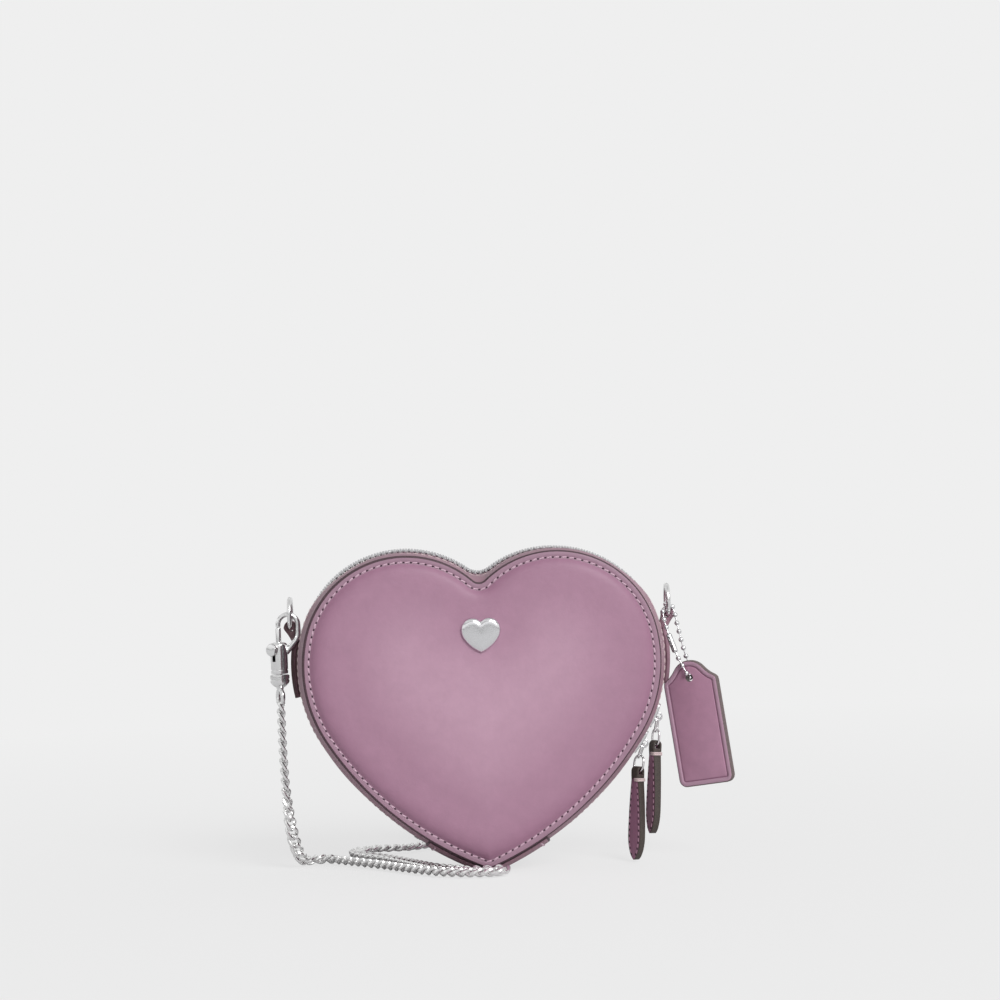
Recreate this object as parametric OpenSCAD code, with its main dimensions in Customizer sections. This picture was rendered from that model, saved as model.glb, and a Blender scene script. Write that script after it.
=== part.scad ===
// Heart shaped purse standing on its tip: a zip round case in two halves, with ring tabs,
// a snap hook chain strap, a bead chain with a hang tag, and two zip sliders with leather pulls.
// Millimetres, +Z up, +X to the right, the front faces -Y, z = 0 is the surface it stands on.

/* [Heart outline] */
// Radius of the long lower flank
flank_r = 150; // [149:0.5:151]
// Radius of the widest part of the side
side_r = 63; // [62:0.5:64]
// Radius of each upper lobe
lobe_r = 47; // [46:0.5:48]
// Direction of the outline where it leaves the tip, in degrees from level
tip_angle = 21.5; // [21:0.1:22]
// Direction of the outline where the flank turns into the side
side_start = 58; // [57:0.5:59]
// Direction of the outline where the side turns into the lobe
lobe_start = 102; // [101:0.5:103]
// Height of the panels' tips above the surface
tip_z = 2; // [1.8:0.1:2.5]

/* [Case] */
// Distance from the middle of the case to the seam of each panel
seam_y = 19.5; // [19.3:0.1:19.7]
// Thickness of the panel's flat border
border_t = 2.6; // [2.4:0.1:2.8]
// Width of the panel's flat border, which holds the row of stitches
border_w = 3.6; // [3.2:0.1:5]
// Height of the panel's padded crown above its border
crown_h = 2.8; // [2:0.1:3.2]
// Thickness of the gusset leather
gusset_t = 1.5; // [1.4:0.1:1.6]
// How far the gusset bulges out at the zip
bulge = 2.8; // [2.6:0.1:3]
// How far the gusset is drawn in at the seam
edge_in = 0.6; // [0.5:0.1:0.7]
// How far the middle of the case sags below its panels
sag = 0.6; // [0.5:0.1:0.8]
// Width of the gusset edge that is turned in behind the panel
turn_in = 6; // [5:0.5:7]
// Half of the gap that the zip shows through
zip_gap = 6; // [5.8:0.1:6.2]
// Thickness of the stiffener boards
board_t = 1.2; // [1:0.1:1.2]
// Thickness of the lining
lining_t = 0.5; // [0.4:0.1:0.6]
// Thickness of the base patch
patch_t = 1.5; // [1.4:0.1:1.6]

/* [Hardware] */
// Outer diameter of the rings on the tabs
ring_d = 16; // [15.6:0.1:16.2]
// Wire diameter of the rings
ring_wire = 2.2; // [2:0.1:2.2]
// Distance of the rings from the middle of the case
ring_x = 88.2; // [88:0.1:88.5]
// Height of the rings' centres
ring_z = 120; // [119.8:0.1:120.2]
// Depth of the rings' centres behind the middle of the case
ring_y = 13.5; // [13.4:0.1:13.6]
// Width of the zip sliders
slider_w = 8.4; // [8:0.1:8.6]
// Length of the zip sliders
slider_l = 11.5; // [11:0.1:12]
// Place of the upper slider along the side, in degrees
upper_slider_angle = 65.5; // [65:0.1:65.8]
// Place of the lower slider along the flank, in degrees
lower_slider_angle = 56.1; // [55.8:0.1:56.3]
// Length of the leather pulls
pull_l = 43; // [41:0.5:43]
// Turn of the upper pull about its own length, in degrees
upper_pull_turn = 64; // [60:1:66]
// Turn of the lower pull about its own length, in degrees
lower_pull_turn = 50; // [46:1:52]
// Width of the leather pulls
pull_w = 8.4; // [8:0.1:8.8]
// Width of the hang tag
tag_w = 27; // [26:0.5:28]
// Length of the hang tag
tag_l = 58; // [57:0.5:59]
// Thickness of the hang tag
tag_t = 3.6; // [3.2:0.1:3.6]
// Diameter of the balls of the bead chain
bead_d = 2.4; // [2.2:0.1:2.4]
// Width of the emblem
emblem_w = 18; // [17:0.5:19]

/* [Chain strap] */
// Diameter of the chain
chain_d = 5.5; // [5.4:0.1:5.5]
// Mean radius of the coil's outer turns
coil_r = 36; // [35.8:0.1:36.2]
// Step from one turn of the coil to the next
coil_step = 6.2; // [6.1:0.1:6.3]

/* [Hidden] */
$fn = 48;

leather = [0.62, 0.47, 0.57];
gusset_leather = [0.66, 0.52, 0.58];
tape_cloth = [0.62, 0.56, 0.60];
lining_cloth = [0.45, 0.36, 0.42];
board_grey = [0.75, 0.73, 0.70];
silver = [0.82, 0.82, 0.83];

// Number of steps along each stretch of half the outline
tip_n = 4;
flank_n = 12;
side_n = 8;
lobe_n = 14;
cleft_n = 4;
// Fillets at the tip and in the cleft, on the panels and on the zip line
panel_tip_r = 2.5;
panel_cleft_r = 4;
zip_tip_r = 12;
zip_cleft_r = 9;

// Centres of the three arcs, each tangent to the next
flank_c = [-flank_r * sin(tip_angle), tip_z + flank_r * cos(tip_angle)];
side_c = flank_c + (flank_r - side_r) * [sin(side_start), -cos(side_start)];
lobe_c = side_c + (side_r - lobe_r) * [sin(lobe_start), -cos(lobe_start)];

// Zip teeth, measured out from the panels' outline
teeth_low = 0.7;
teeth_top = 3;
teeth_gap = 0.35;
teeth_w = 2.5;
tape_t = 0.6;
// First outline points of the teeth and of the tape, counted from the tip
teeth_first = tip_n + 5;
tape_first = tip_n + 4;
// End stops on the teeth's ends, in degrees along the flank
stop_from = 35.8;
stop_to = 37.1;

slider_gap = 0.25;
plate_t = 1;
plate_inner_t = 1;
post_w = 0.3;
bail_h = 0.9;
bail_hole_r = 1.35;
bail_r = 2.2;
bail_w = 1.7;
link_wire_r = 0.6;
link_r = 2.1;
link_straight = 2.6;
link_twist = 16;
link_play = 0.9;
jump_wire_r = 0.5;
jump_r = 3;
jump_straight = 2.5;
pull_lean = 4.5;
pull_t = 3.9;
pull_loop_w = 4.4;
pull_loop_r = 2.2;
pull_hole_r = 1.3;

tab_y = [10.9, 16.9];
tab_hole_r = 1.75;
tab_loop_r = 3.05;
loop_z = ring_z - (ring_d - ring_wire) / 2 + 0.5;

emblem_z = 108.5;
pin_r = 0.8;
pin_x = 4.5;

hook_bow_r = 4.6;
hook_bow_z = 22.9;
hook_wire_r = 1.3;
near_hook_at = [-93.8, 9.3, 92.4];
far_hook_at = [9.4, 176, 4.5];

tag_hole_at = [96.8, 1, 84];
tag_hole_r = 1.9;
tag_hole_down = 8;
tag_turn = -28;
tag_tilt = 8;

// Route of the bead chain, from the tag's hole up behind it, over the ring's wire and down again
bead_route = [tag_hole_at, [97.9, 4, 86], [96.8, 4.8, 89.5], [95, 5.4, 95], [93.6, 6.3, 101],
  [92.4, 7.4, 107], [91.4, 8.4, 112.5], [90.7, 9, 116], [89.6, 9.3, 117.9], [88.2, 9.5, 118.5],
  [86.8, 9.3, 117.9], [85.8, 8.9, 116.2], [85.6, 8.4, 114], [86, 7, 110.5], [87.4, 4.8, 105],
  [89.2, 2.6, 99], [91.2, 0.6, 93.6], [93.4, -1.2, 89], [94.9, -1.6, 86], tag_hole_at];
bead_pitch = 4;
bead_rod_r = 0.35;
connector_bead = 15;
connector_r = 1.4;

// Route of the chain's free stretch, from the near hook's eye to the start of the coil
chain_route = [[-93.8, 9.3, 77], [-93.8, 9.3, 71], [-93.7, 9.5, 60], [-93.4, 9.9, 49], [-92.9, 10.7, 38],
  [-92.2, 12, 28], [-91.2, 13.8, 19], [-89.8, 16.5, 11.5], [-88, 20.5, 5.8], [-85.6, 25.5, 3.1],
  [-81, 29.6, 2.75], [-75, 28.8, 2.75], [-69.5, 23.5, 2.75], [-63, 16.5, 2.75], [-56.5, 9.5, 2.75],
  [-50, 2.5, 2.75], [-43.5, -5.5, 2.75], [-37, -13.5, 2.75], [-29.5, -22, 2.75], [-21, -29.5, 2.75],
  [-11, -34.6, 2.75], [-2, -36.4, 2.75], [2, -36.4, 2.75], [5.1, -35.1, 2.75], [6.4, -32, 2.75],
  [5.1, -28.9, 2.75], [2, -27.6, 2.75], [-5, -27.4, 2.75], [-12, -25.8, 2.75], [-19, -21, 2.75],
  [-26, -13.5, 2.75], [-32, -4, 2.75], [-37.5, 6, 2.75], [-43, 15.5, 2.75], [-49, 24.5, 2.75],
  [-55.5, 32.5, 2.75], [-61, 40, 2.75], [-63.2, 48, 2.75], [-60.5, 55.8, 2.75], [-53.5, 60, 2.75],
  [-45.5, 60.3, 2.75], [-38, 61.5, 2.75], [-31.5, 66, 2.75], [-27.5, 73, 2.75], [-26.8, 82, 2.75],
  [-28.6, 92, 2.75], [-31, 101, 2.75], [-32.6, 108, 2.75], [-33, 114, 2.75], [-33, 119.5, 2.75]];
// Route of the last stretch, from a little past the end of the coil to the far hook's eye
end_route = [[-14.2, 161.4, 7.8], [-13, 166, 6.6], [-12.6, 170.4, 5.3], [-11.2, 174, 4.6],
  [-8.6, 175.8, 4.5], [-6, 176, 4.5]];
coil_c = [3, 125];
coil_turn = 1485;
coil_rings = 24;
coil_sides = 6;
coil_layer = 6.1;
chain_sides = 8;

// Sum of a list, the way from point to point, and unit vectors
function total(v) = v * [for (x = v) 1];
function unit(v) = v / norm(v);
function route_length(p) = total([for (i = [1:len(p) - 1]) norm(p[i] - p[i - 1])]);
function on_arc(c, r, a) = [c[0] + r * sin(a), c[1] - r * cos(a)];

// Right half of the outline, b outside the panels' edge, from the tip up to the cleft
function half_heart(b, tip_r, cleft_r) =
  let (
    fr = flank_r + b,
    lr = lobe_r + b,
    tip_a = asin(-flank_c[0] / (fr - tip_r)),
    tip_cz = flank_c[1] - sqrt(pow(fr - tip_r, 2) - pow(flank_c[0], 2)),
    cleft_a = asin(lobe_c[0] / (lr + cleft_r)),
    cleft_cz = lobe_c[1] + sqrt(pow(lr + cleft_r, 2) - pow(lobe_c[0], 2))
  )
  concat(
    [for (i = [0:tip_n - 1]) on_arc([0, tip_cz], tip_r, tip_a * i / tip_n)],
    [for (i = [0:flank_n - 1]) on_arc(flank_c, fr, tip_a + (side_start - tip_a) * i / flank_n)],
    [for (i = [0:side_n - 1]) on_arc(side_c, side_r + b, side_start + (lobe_start - side_start) * i / side_n)],
    [for (i = [0:lobe_n - 1]) on_arc(lobe_c, lr, lobe_start + (180 + cleft_a - lobe_start) * i / lobe_n)],
    [for (i = [0:cleft_n]) on_arc([0, cleft_cz], cleft_r, cleft_a * (1 - i / cleft_n))]
  );

// Whole outline, lowered by drop
function heart(b, drop = 0, tip_r = panel_tip_r, cleft_r = panel_cleft_r) =
  let (h = half_heart(b, tip_r, cleft_r), n = len(h))
  concat([for (p = h) [p[0], p[1] - drop]], [for (i = [n - 2:-1:1]) [-h[i][0], h[i][1] - drop]]);

// Outline of a panel, moved in from its edge
function panel_outline(inward) = heart(-inward, 0, panel_tip_r, panel_cleft_r + inward);

// Outline on the gusset's outer skin at depth y, moved in from it
function skin(y, inward = 0) =
  let (t2 = pow(y / seam_y, 2))
  heart(bulge * (1 - t2) - edge_in * t2 - inward, sag * (1 - t2),
    max(zip_tip_r * (1 - t2) + panel_tip_r * t2 - inward, 1),
    zip_cleft_r * (1 - t2) + panel_cleft_r * t2 + inward);

// Outline along the zip line
function zip_line(b) = heart(b, sag, zip_tip_r + b - bulge, zip_cleft_r + bulge - b);

function at_depth(outline, y, floor_z = 0) = [for (p = outline) [p[0], y, max(p[1], floor_z)]];

// Cross sections along the outline from point first to point last, out of the outlines of its corners
function sections(corners, first, last) = [for (i = [first:last]) [for (c = corners) c[i]]];

// Solid through a list of cross sections, closed to a loop or capped at both ends. The cap of a section
// that isn't flat runs between its two rows of corners
module sweep_mesh(rings, closed = false, two_rows = false) {
  n = len(rings);
  m = len(rings[0]);
  points = [for (r = rings) each r];
  sides = [for (i = [0:closed ? n - 1 : n - 2], j = [0:m - 1], half = [0, 1])
    let (
      a = i * m + j,
      b = i * m + (j + 1) % m,
      c = ((i + 1) % n) * m + j,
      d = ((i + 1) % n) * m + (j + 1) % m
    )
    half == 0 ? [a, b, d] : [a, d, c]];
  row = m / 2;
  strip = [for (j = [0:row - 2], half = [0, 1])
    half == 0 ? [j, m - 2 - j, j + 1] : [j, m - 1 - j, m - 2 - j]];
  caps = closed ? []
    : two_rows ? concat(strip, [for (f = strip) [for (k = [2:-1:0]) (n - 1) * m + f[k]]])
    : [[for (j = [m - 1:-1:0]) j], [for (j = [0:m - 1]) (n - 1) * m + j]];
  faces = concat(sides, caps);
  volume = total([for (f = faces) total([for (k = [1:len(f) - 2])
    points[f[0]] * cross(points[f[k]], points[f[k + 1]])])]);
  polyhedron(points, volume > 0 ? [for (f = faces) [for (k = [len(f) - 1:-1:0]) f[k]]] : faces);
}

// Plate between two depths, drawn in the plane of the outline
module slab(y0, y1) {
  translate([0, y1, 0]) rotate([90, 0, 0]) linear_extrude(y1 - y0) children();
}

// Bar of a rectangular section along an arc of the outline
module arc_bar(c, r0, r1, y0, y1, a0, a1) {
  translate([c[0], 0, c[1]]) rotate([90, 0, 0]) rotate([0, 0, a0 - 90])
    rotate_extrude(angle = a1 - a0, $fn = 180) translate([r0, -y1]) square([r1 - r0, y1 - y0]);
}

// Torus piece in the plane of X and Z, from angle a0 to a1 above X
module wire_arc(r, wire_r, a0 = 0, a1 = 360) {
  rotate([90, 0, 0]) rotate([0, 0, a0])
    rotate_extrude(angle = a1 - a0) translate([r, 0]) circle(wire_r, $fn = 24);
}

// Turn that takes +Z to the direction v
module along_to(v) {
  rotate([0, acos(v[2] / norm(v)), atan2(v[1], v[0])]) children();
}

module rod(p, q, r) {
  translate(p) along_to(q - p) cylinder(h = norm(q - p), r = r, $fn = 24);
}

module front() {
  mirror([0, 1, 0]) children();
}

// Padded panel of the back half
module panel() {
  face_y = seam_y + border_t;
  difference() {
    sweep_mesh([
      at_depth(panel_outline(0), seam_y),
      at_depth(panel_outline(0), face_y),
      at_depth(panel_outline(border_w), face_y + 0.2),
      at_depth(panel_outline(border_w + 2.5), face_y + 0.55 * crown_h),
      at_depth(panel_outline(border_w + 7), face_y + 0.87 * crown_h),
      at_depth(panel_outline(border_w + 15), face_y + crown_h)
    ]);
    children();
  }
}

module emblem_pins(y0, y1) {
  for (x = [-pin_x, pin_x])
    translate([x, y1, emblem_z]) rotate([90, 0, 0]) cylinder(h = y1 - y0, r = pin_r, $fn = 24);
}

module back_panel() {
  color(leather) panel();
}

module front_panel() {
  color(leather) front() panel() emblem_pins(seam_y - 1, seam_y + border_t + crown_h + 1);
}

// Stiffener board inside the turned edge of the gusset
module back_stiffener() {
  color(board_grey) slab(seam_y - board_t, seam_y) polygon(panel_outline(turn_in + edge_in + 0.3));
}

module front_stiffener() {
  color(board_grey) front() difference() {
    back_stiffener();
    emblem_pins(seam_y - board_t - 1, seam_y + 1);
    translate([0, seam_y - board_t / 2, emblem_z]) cube([14.4, board_t + 1, 6.4], center = true);
  }
}

// Gusset half, an open channel with its outer edge turned in behind the panel
module gusset() {
  corners = [for (s = [[zip_gap, 0], [11, 0], [16, 0], [seam_y, 0], [seam_y, turn_in],
      [seam_y - board_t, turn_in], [seam_y - board_t, gusset_t], [11, gusset_t], [zip_gap, gusset_t]])
    at_depth(skin(s[0], s[1]), s[0], patch_t + s[1])];
  sweep_mesh(sections(corners, 0, len(corners[0]) - 1), closed = true);
}

module back_gusset() {
  color(gusset_leather) gusset();
}

module front_gusset() {
  color(gusset_leather) front() gusset();
}

// Cloth tape that carries the teeth, glued under the gusset's edge
module zip_tape() {
  corners = [for (s = [[teeth_w, 1.7], [zip_gap, gusset_t + 0.02], [8.5, gusset_t + 0.1],
      [8.5, gusset_t + 0.1 + tape_t], [zip_gap, gusset_t + tape_t], [teeth_w, 1.7 + tape_t]])
    at_depth(skin(s[0], s[1]), s[0], patch_t + s[1])];
  sweep_mesh(sections(corners, tape_first, len(corners[0]) - tape_first), two_rows = true);
}

module back_zip_tape() {
  color(tape_cloth) zip_tape();
}

module front_zip_tape() {
  color(tape_cloth) front() zip_tape();
}

module zip_teeth() {
  corners = [for (s = [[teeth_gap, teeth_top], [teeth_w, teeth_top], [teeth_w, teeth_low], [teeth_gap, teeth_low]])
    at_depth(zip_line(s[1]), s[0])];
  sweep_mesh(sections(corners, teeth_first, len(corners[0]) - teeth_first));
}

module back_zip_teeth() {
  color(silver) zip_teeth();
}

module front_zip_teeth() {
  color(silver) front() zip_teeth();
}

// Metal stops crimped over both ends of a row of teeth
module end_stops() {
  c = flank_c - [0, sag];
  for (side = [0, 1])
    mirror([side, 0, 0])
      arc_bar(c, flank_r + teeth_low, flank_r + teeth_top + 0.3, teeth_gap, teeth_w, stop_from, stop_to);
}

module back_end_stops() {
  color(silver) end_stops();
}

module front_end_stops() {
  color(silver) front() end_stops();
}

// Cloth lining, a tray inside the stiffener with a lip under the zip tape
module lining() {
  back_y = seam_y - board_t;
  tray_in = 2.4;
  slab(back_y - lining_t, back_y) polygon(panel_outline(tray_in));
  slab(9, back_y - lining_t) difference() {
    polygon(panel_outline(tray_in));
    polygon(panel_outline(tray_in + lining_t));
  }
  slab(9 - lining_t, 9) difference() {
    polygon([for (p = skin(9, gusset_t + tape_t + 0.3)) [p[0], max(p[1], patch_t + gusset_t + tape_t + 0.3)]]);
    polygon(panel_outline(tray_in + lining_t));
  }
}

module back_lining() {
  color(lining_cloth) lining();
}

module front_lining() {
  color(lining_cloth) front() lining();
}

// Flat slip pocket sewn to the back lining
module slip_pocket() {
  top_y = seam_y - board_t - lining_t;
  color(lining_cloth) slab(top_y - 0.8, top_y) translate([-40, 46]) square([80, 46]);
}

// Leather patch wrapped round the tip, flat where the case stands on it. Its front part bends with the
// front half, so it is a piece of its own
module patch(stations) {
  glue = 0.4;
  reach = 33;
  steps = 15;
  function place(y, out, k) =
    let (
      t2 = pow(y / seam_y, 2),
      fr = flank_r + bulge * (1 - t2) - edge_in * t2 + out,
      tr = zip_tip_r * (1 - t2) + panel_tip_r * t2 + out,
      drop = sag * (1 - t2),
      tip_a = asin(-flank_c[0] / (fr - tr)),
      tip_cz = flank_c[1] - sqrt(pow(fr - tr, 2) - pow(flank_c[0], 2)),
      s = abs(2 * k - steps) / steps,
      a = s < 0.5 ? 2 * s * tip_a : tip_a + (2 * s - 1) * (reach - tip_a),
      p = s < 0.5 ? on_arc([0, tip_cz], tr, a) : on_arc(flank_c, fr, a)
    )
    [(2 * k > steps ? 1 : -1) * p[0], y, max(p[1] - drop, patch_t - out)];
  sweep_mesh([for (k = [0:steps]) concat(
    [for (y = stations) place(y, patch_t, k)],
    [for (i = [len(stations) - 1:-1:0]) place(stations[i], glue, k)]
  )], two_rows = true);
}

module base_patch() {
  color(gusset_leather) patch([-4, 0, 4, 8, 12, 15.5, 19]);
}

module base_patch_front() {
  color(gusset_leather) patch([-19, -15.5, -12, -8, -4.4]);
}

// Doubled leather tab up the side of the back gusset, with a loop round the ring's wire
module ring_tab() {
  c = [side_c[0], side_c[1] - 0.4];
  low = 78;
  high = 102.5;
  width = tab_y[1] - tab_y[0];
  difference() {
    union() {
      translate([c[0], 0, c[1]]) rotate([90, 0, 0]) rotate([0, 0, low - 90])
        rotate_extrude(angle = high - low, $fn = 180)
          polygon([[65.4, -tab_y[0]], [69.2, -tab_y[0]], [68.2, -tab_y[1]], [63.9, -tab_y[1]]]);
      translate([ring_x, tab_y[1], loop_z]) rotate([90, 0, 0]) cylinder(h = width, r = tab_loop_r);
      slab(tab_y[0], tab_y[1])
        polygon([[ring_x - 5, loop_z - 6.2], [ring_x - 1.2, loop_z - 6], [ring_x + 0.4, loop_z - 3.9],
          [ring_x + 2.6, loop_z - 1.5], [ring_x, loop_z], [ring_x - tab_loop_r, loop_z - 0.2],
          [ring_x - 3.9, loop_z - 3.5]]);
    }
    translate([ring_x, tab_y[1] + 1, loop_z]) rotate([90, 0, 0]) cylinder(h = width + 2, r = tab_hole_r);
  }
}

module right_ring_tab() {
  color(gusset_leather) ring_tab();
}

module left_ring_tab() {
  color(gusset_leather) mirror([1, 0, 0]) ring_tab();
}

module tab_ring() {
  translate([ring_x, ring_y, ring_z]) rotate([0, 0, 90]) wire_arc((ring_d - ring_wire) / 2, ring_wire / 2);
}

module right_ring() {
  color(silver) tab_ring();
}

module left_ring() {
  color(silver) mirror([1, 0, 0]) tab_ring();
}

// Emblem: a plain domed heart on the front panel, held by two pins and a backplate
module heart_emblem() {
  k = emblem_w / 164;
  mid_z = emblem_z - 0.5 * 146 * k;
  face_y = -(seam_y + border_t + crown_h);
  function ring(inward, y) = [for (p = panel_outline(inward)) [p[0] * k, y, mid_z + p[1] * k]];
  color(silver) {
    sweep_mesh([ring(0, face_y), ring(0, face_y - 1), ring(7, face_y - 1.9), ring(20, face_y - 2.4)]);
    emblem_pins(face_y - 0.5, -(seam_y - board_t) - 0.05);
  }
}

module emblem_backplate() {
  color(silver) difference() {
    translate([0, -(seam_y - board_t / 2), emblem_z]) cube([14, board_t, 6], center = true);
    emblem_pins(-seam_y - 1, -(seam_y - board_t) + 1);
  }
}

// Zip slider: plate over the teeth, plate under the back teeth, post between them and a bail
function slider_top(r) = r + teeth_top + slider_gap + plate_t;
function bail_at(c, r, a) = [c[0] + (slider_top(r) + bail_h) * sin(a), 0, c[1] - (slider_top(r) + bail_h) * cos(a)];

module slider(c, r, a) {
  half_a = slider_l / 2 / slider_top(r) * 180 / PI;
  low_r = r + teeth_low - 2 * slider_gap;
  difference() {
    union() {
      arc_bar(c, slider_top(r) - plate_t, slider_top(r), -slider_w / 2, slider_w / 2, a - half_a, a + half_a);
      arc_bar(c, low_r - plate_inner_t, low_r, -post_w / 2, 4, a - half_a, a + half_a);
      arc_bar(c, low_r - 0.1, slider_top(r) - plate_t / 2, -post_w / 2, post_w / 2, a - half_a / 2, a + half_a);
      translate(bail_at(c, r, a)) rotate([0, 180 - a, 0]) slab(-bail_w / 2, bail_w / 2) intersection() {
        hull() {
          circle(bail_r);
          translate([-bail_r, -bail_h - 0.4]) square([2 * bail_r, 0.4]);
        }
        translate([-bail_r, -bail_h - 0.4]) square(2 * bail_r + 1);
      }
    }
    translate(bail_at(c, r, a)) rotate([90, 0, 0])
      cylinder(h = bail_w + 2, r = bail_hole_r, center = true);
  }
}

module upper_slider() {
  color(silver) slider(side_c - [0, sag], side_r, upper_slider_angle);
}

module lower_slider() {
  color(silver) slider(flank_c - [0, sag], flank_r, lower_slider_angle);
}

upper_bail = bail_at(side_c - [0, sag], side_r, upper_slider_angle);
lower_bail = bail_at(flank_c - [0, sag], flank_r, lower_slider_angle);

// Upright oval loop of wire, its top wire's centre at the origin
module oval_loop(r, wire_r, straight) {
  translate([0, 0, -r]) wire_arc(r, wire_r, 0, 180);
  translate([0, 0, -r - straight]) wire_arc(r, wire_r, 180, 360);
  for (x = [-r, r])
    translate([x, 0, -r - straight]) cylinder(h = straight, r = wire_r, $fn = 24);
}

link_top_down = 0.3;
link_l = 2 * link_r + link_straight;
jump_top_down = link_top_down + link_l - link_wire_r - jump_wire_r - link_play;
pull_top_down = 2 * jump_r + jump_straight - 0.35;

// Lean of the link over its slider, and of the jump ring on its lower end
upper_lean = [10, 6];
lower_lean = [21, 13];

module link(bail, lean) {
  translate(bail) rotate([0, 0, 90 - link_twist]) rotate([lean[0], 0, 0]) translate([0, 0, -link_top_down])
    oval_loop(link_r, link_wire_r, link_straight);
}

function jump_top(bail, lean) = bail
  + jump_top_down * [-sin(lean[0]) * cos(link_twist), sin(lean[0]) * sin(link_twist), -cos(lean[0])];

module jump_ring(bail, lean, turn) {
  translate(jump_top(bail, lean)) rotate([0, 0, -turn]) rotate([-lean[1], 0, 0])
    oval_loop(jump_r, jump_wire_r, jump_straight);
}

// Folded leather pull: a loop round the jump ring and a leaf that is widest near its lower end
module pull(bail, lean, turn) {
  blade_l = pull_l - pull_loop_r;
  steps = 14;
  top_w = pull_loop_w / 2;
  function half_width(s) = s < 0.72 ? top_w + (pull_w / 2 - top_w) * sin(s / 0.72 * 90)
    : pull_w / 2 * pow(1 - pow((s - 0.72) / 0.28, 2), 0.75);
  edge = [for (i = [0:steps]) [half_width(i / steps), -1.6 - (blade_l - 1.6) * i / steps]];
  translate(jump_top(bail, lean)) rotate([0, 0, -turn]) rotate([-lean[1], 0, 0])
    translate([0, 0, -pull_top_down]) rotate([lean[1] - pull_lean, 0, 0]) difference() {
      union() {
        slab(-pull_t / 2, pull_t / 2)
          polygon(concat(edge, [for (i = [steps - 1:-1:0]) [-edge[i][0], edge[i][1]]]));
        rotate([0, 90, 0]) cylinder(h = pull_loop_w, r = pull_loop_r, center = true);
        translate([-top_w, -pull_t / 2, -2]) cube([pull_loop_w, pull_t, 1.2]);
      }
      rotate([0, 90, 0]) cylinder(h = 8, r = pull_hole_r, center = true);
    }
}

module upper_link() {
  color(silver) link(upper_bail, upper_lean);
}

module lower_link() {
  color(silver) link(lower_bail, lower_lean);
}

module upper_jump_ring() {
  color(silver) jump_ring(upper_bail, upper_lean, upper_pull_turn);
}

module lower_jump_ring() {
  color(silver) jump_ring(lower_bail, lower_lean, lower_pull_turn);
}

module upper_pull() {
  color(leather) pull(upper_bail, upper_lean, upper_pull_turn);
}

module lower_pull() {
  color(leather) pull(lower_bail, lower_lean, lower_pull_turn);
}

// Snap hook, upright, its barrel's lower end at the origin and its bow towards +X
barrel_r = 4;
barrel_h = 14.8;
knob_z = 11.4;
knob_turn = 235;
bolt_r = 1.25;
bolt_tip_z = 21.8;

module hook_frame() {
  difference() {
    union() {
      cylinder(h = barrel_h, r = barrel_r);
      translate([hook_bow_r, 0, hook_bow_z]) wire_arc(hook_bow_r, hook_wire_r, 0, 180);
      translate([0, 0, bolt_tip_z + 0.15]) cylinder(h = hook_bow_z - bolt_tip_z - 0.15, r = hook_wire_r);
      rod([2 * hook_bow_r, 0, hook_bow_z], [2 * hook_bow_r, 0, 17], hook_wire_r);
      translate([2 * hook_bow_r, 0, 17]) sphere(hook_wire_r, $fn = 24);
      rod([2 * hook_bow_r, 0, 17], [3.2, 0, 10], hook_wire_r);
    }
    translate([0, 0, 1.2]) cylinder(h = 12.4, r = 2.6);
    translate([0, 0, -1]) cylinder(h = 3, r = 1.4);
    translate([0, 0, 13]) cylinder(h = 3, r = bolt_r + 0.08);
    rotate([0, 0, knob_turn]) translate([0, -0.9, 5.8]) cube([6, 1.8, 6.6]);
  }
}

module hook_bolt() {
  translate([0, 0, 9]) cylinder(h = 3.6, r = 2.45);
  translate([0, 0, 12]) cylinder(h = bolt_tip_z - 12, r = bolt_r);
  rotate([0, 0, knob_turn]) translate([0, 0, knob_z]) rotate([0, 90, 0]) {
    cylinder(h = 5, r = 0.75, $fn = 24);
    translate([0, 0, 4.5]) cylinder(h = 2.1, r = 3.2);
  }
}

// Bolt spring, a plain sleeve of its outer size
module hook_spring(h) {
  translate([0, 0, 2.7]) difference() {
    cylinder(h = h, r = 2.4);
    translate([0, 0, -1]) cylinder(h = h + 2, r = 1.7);
  }
}

module hook_swivel() {
  translate([0, 0, 1.4]) cylinder(h = 1, r = 2.3);
  translate([0, 0, -1]) cylinder(h = 2.9, r = 1.3);
  translate([0, 0, -4]) cylinder(h = 3.7, r = 4.5);
  translate([0, 0, -6]) cylinder(h = 2, r1 = 2.6, r2 = 4.5);
  translate([0, 0, -7.6]) cylinder(h = 2, r = 1.6);
  translate([0, 0, -10.7]) rotate([0, 0, 90]) wire_arc(3.2, 1.1);
}

module near_hook() {
  translate(near_hook_at) children();
}

module far_hook() {
  translate(far_hook_at) rotate([180, 0, 0]) rotate([90, 0, 90]) children();
}

module near_hook_frame() {
  color(silver) near_hook() hook_frame();
}

module near_hook_spring() {
  color(silver) near_hook() hook_spring(6.2);
}

module near_hook_bolt() {
  color(silver) near_hook() hook_bolt();
}

module near_hook_swivel() {
  color(silver) near_hook() hook_swivel();
}

module far_hook_frame() {
  color(silver) far_hook() hook_frame();
}

module far_hook_spring() {
  color(silver) far_hook() hook_spring(1.7);
}

module far_hook_bolt() {
  color(silver) far_hook() hook_bolt();
}

module far_hook_swivel() {
  color(silver) far_hook() hook_swivel();
}

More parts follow.
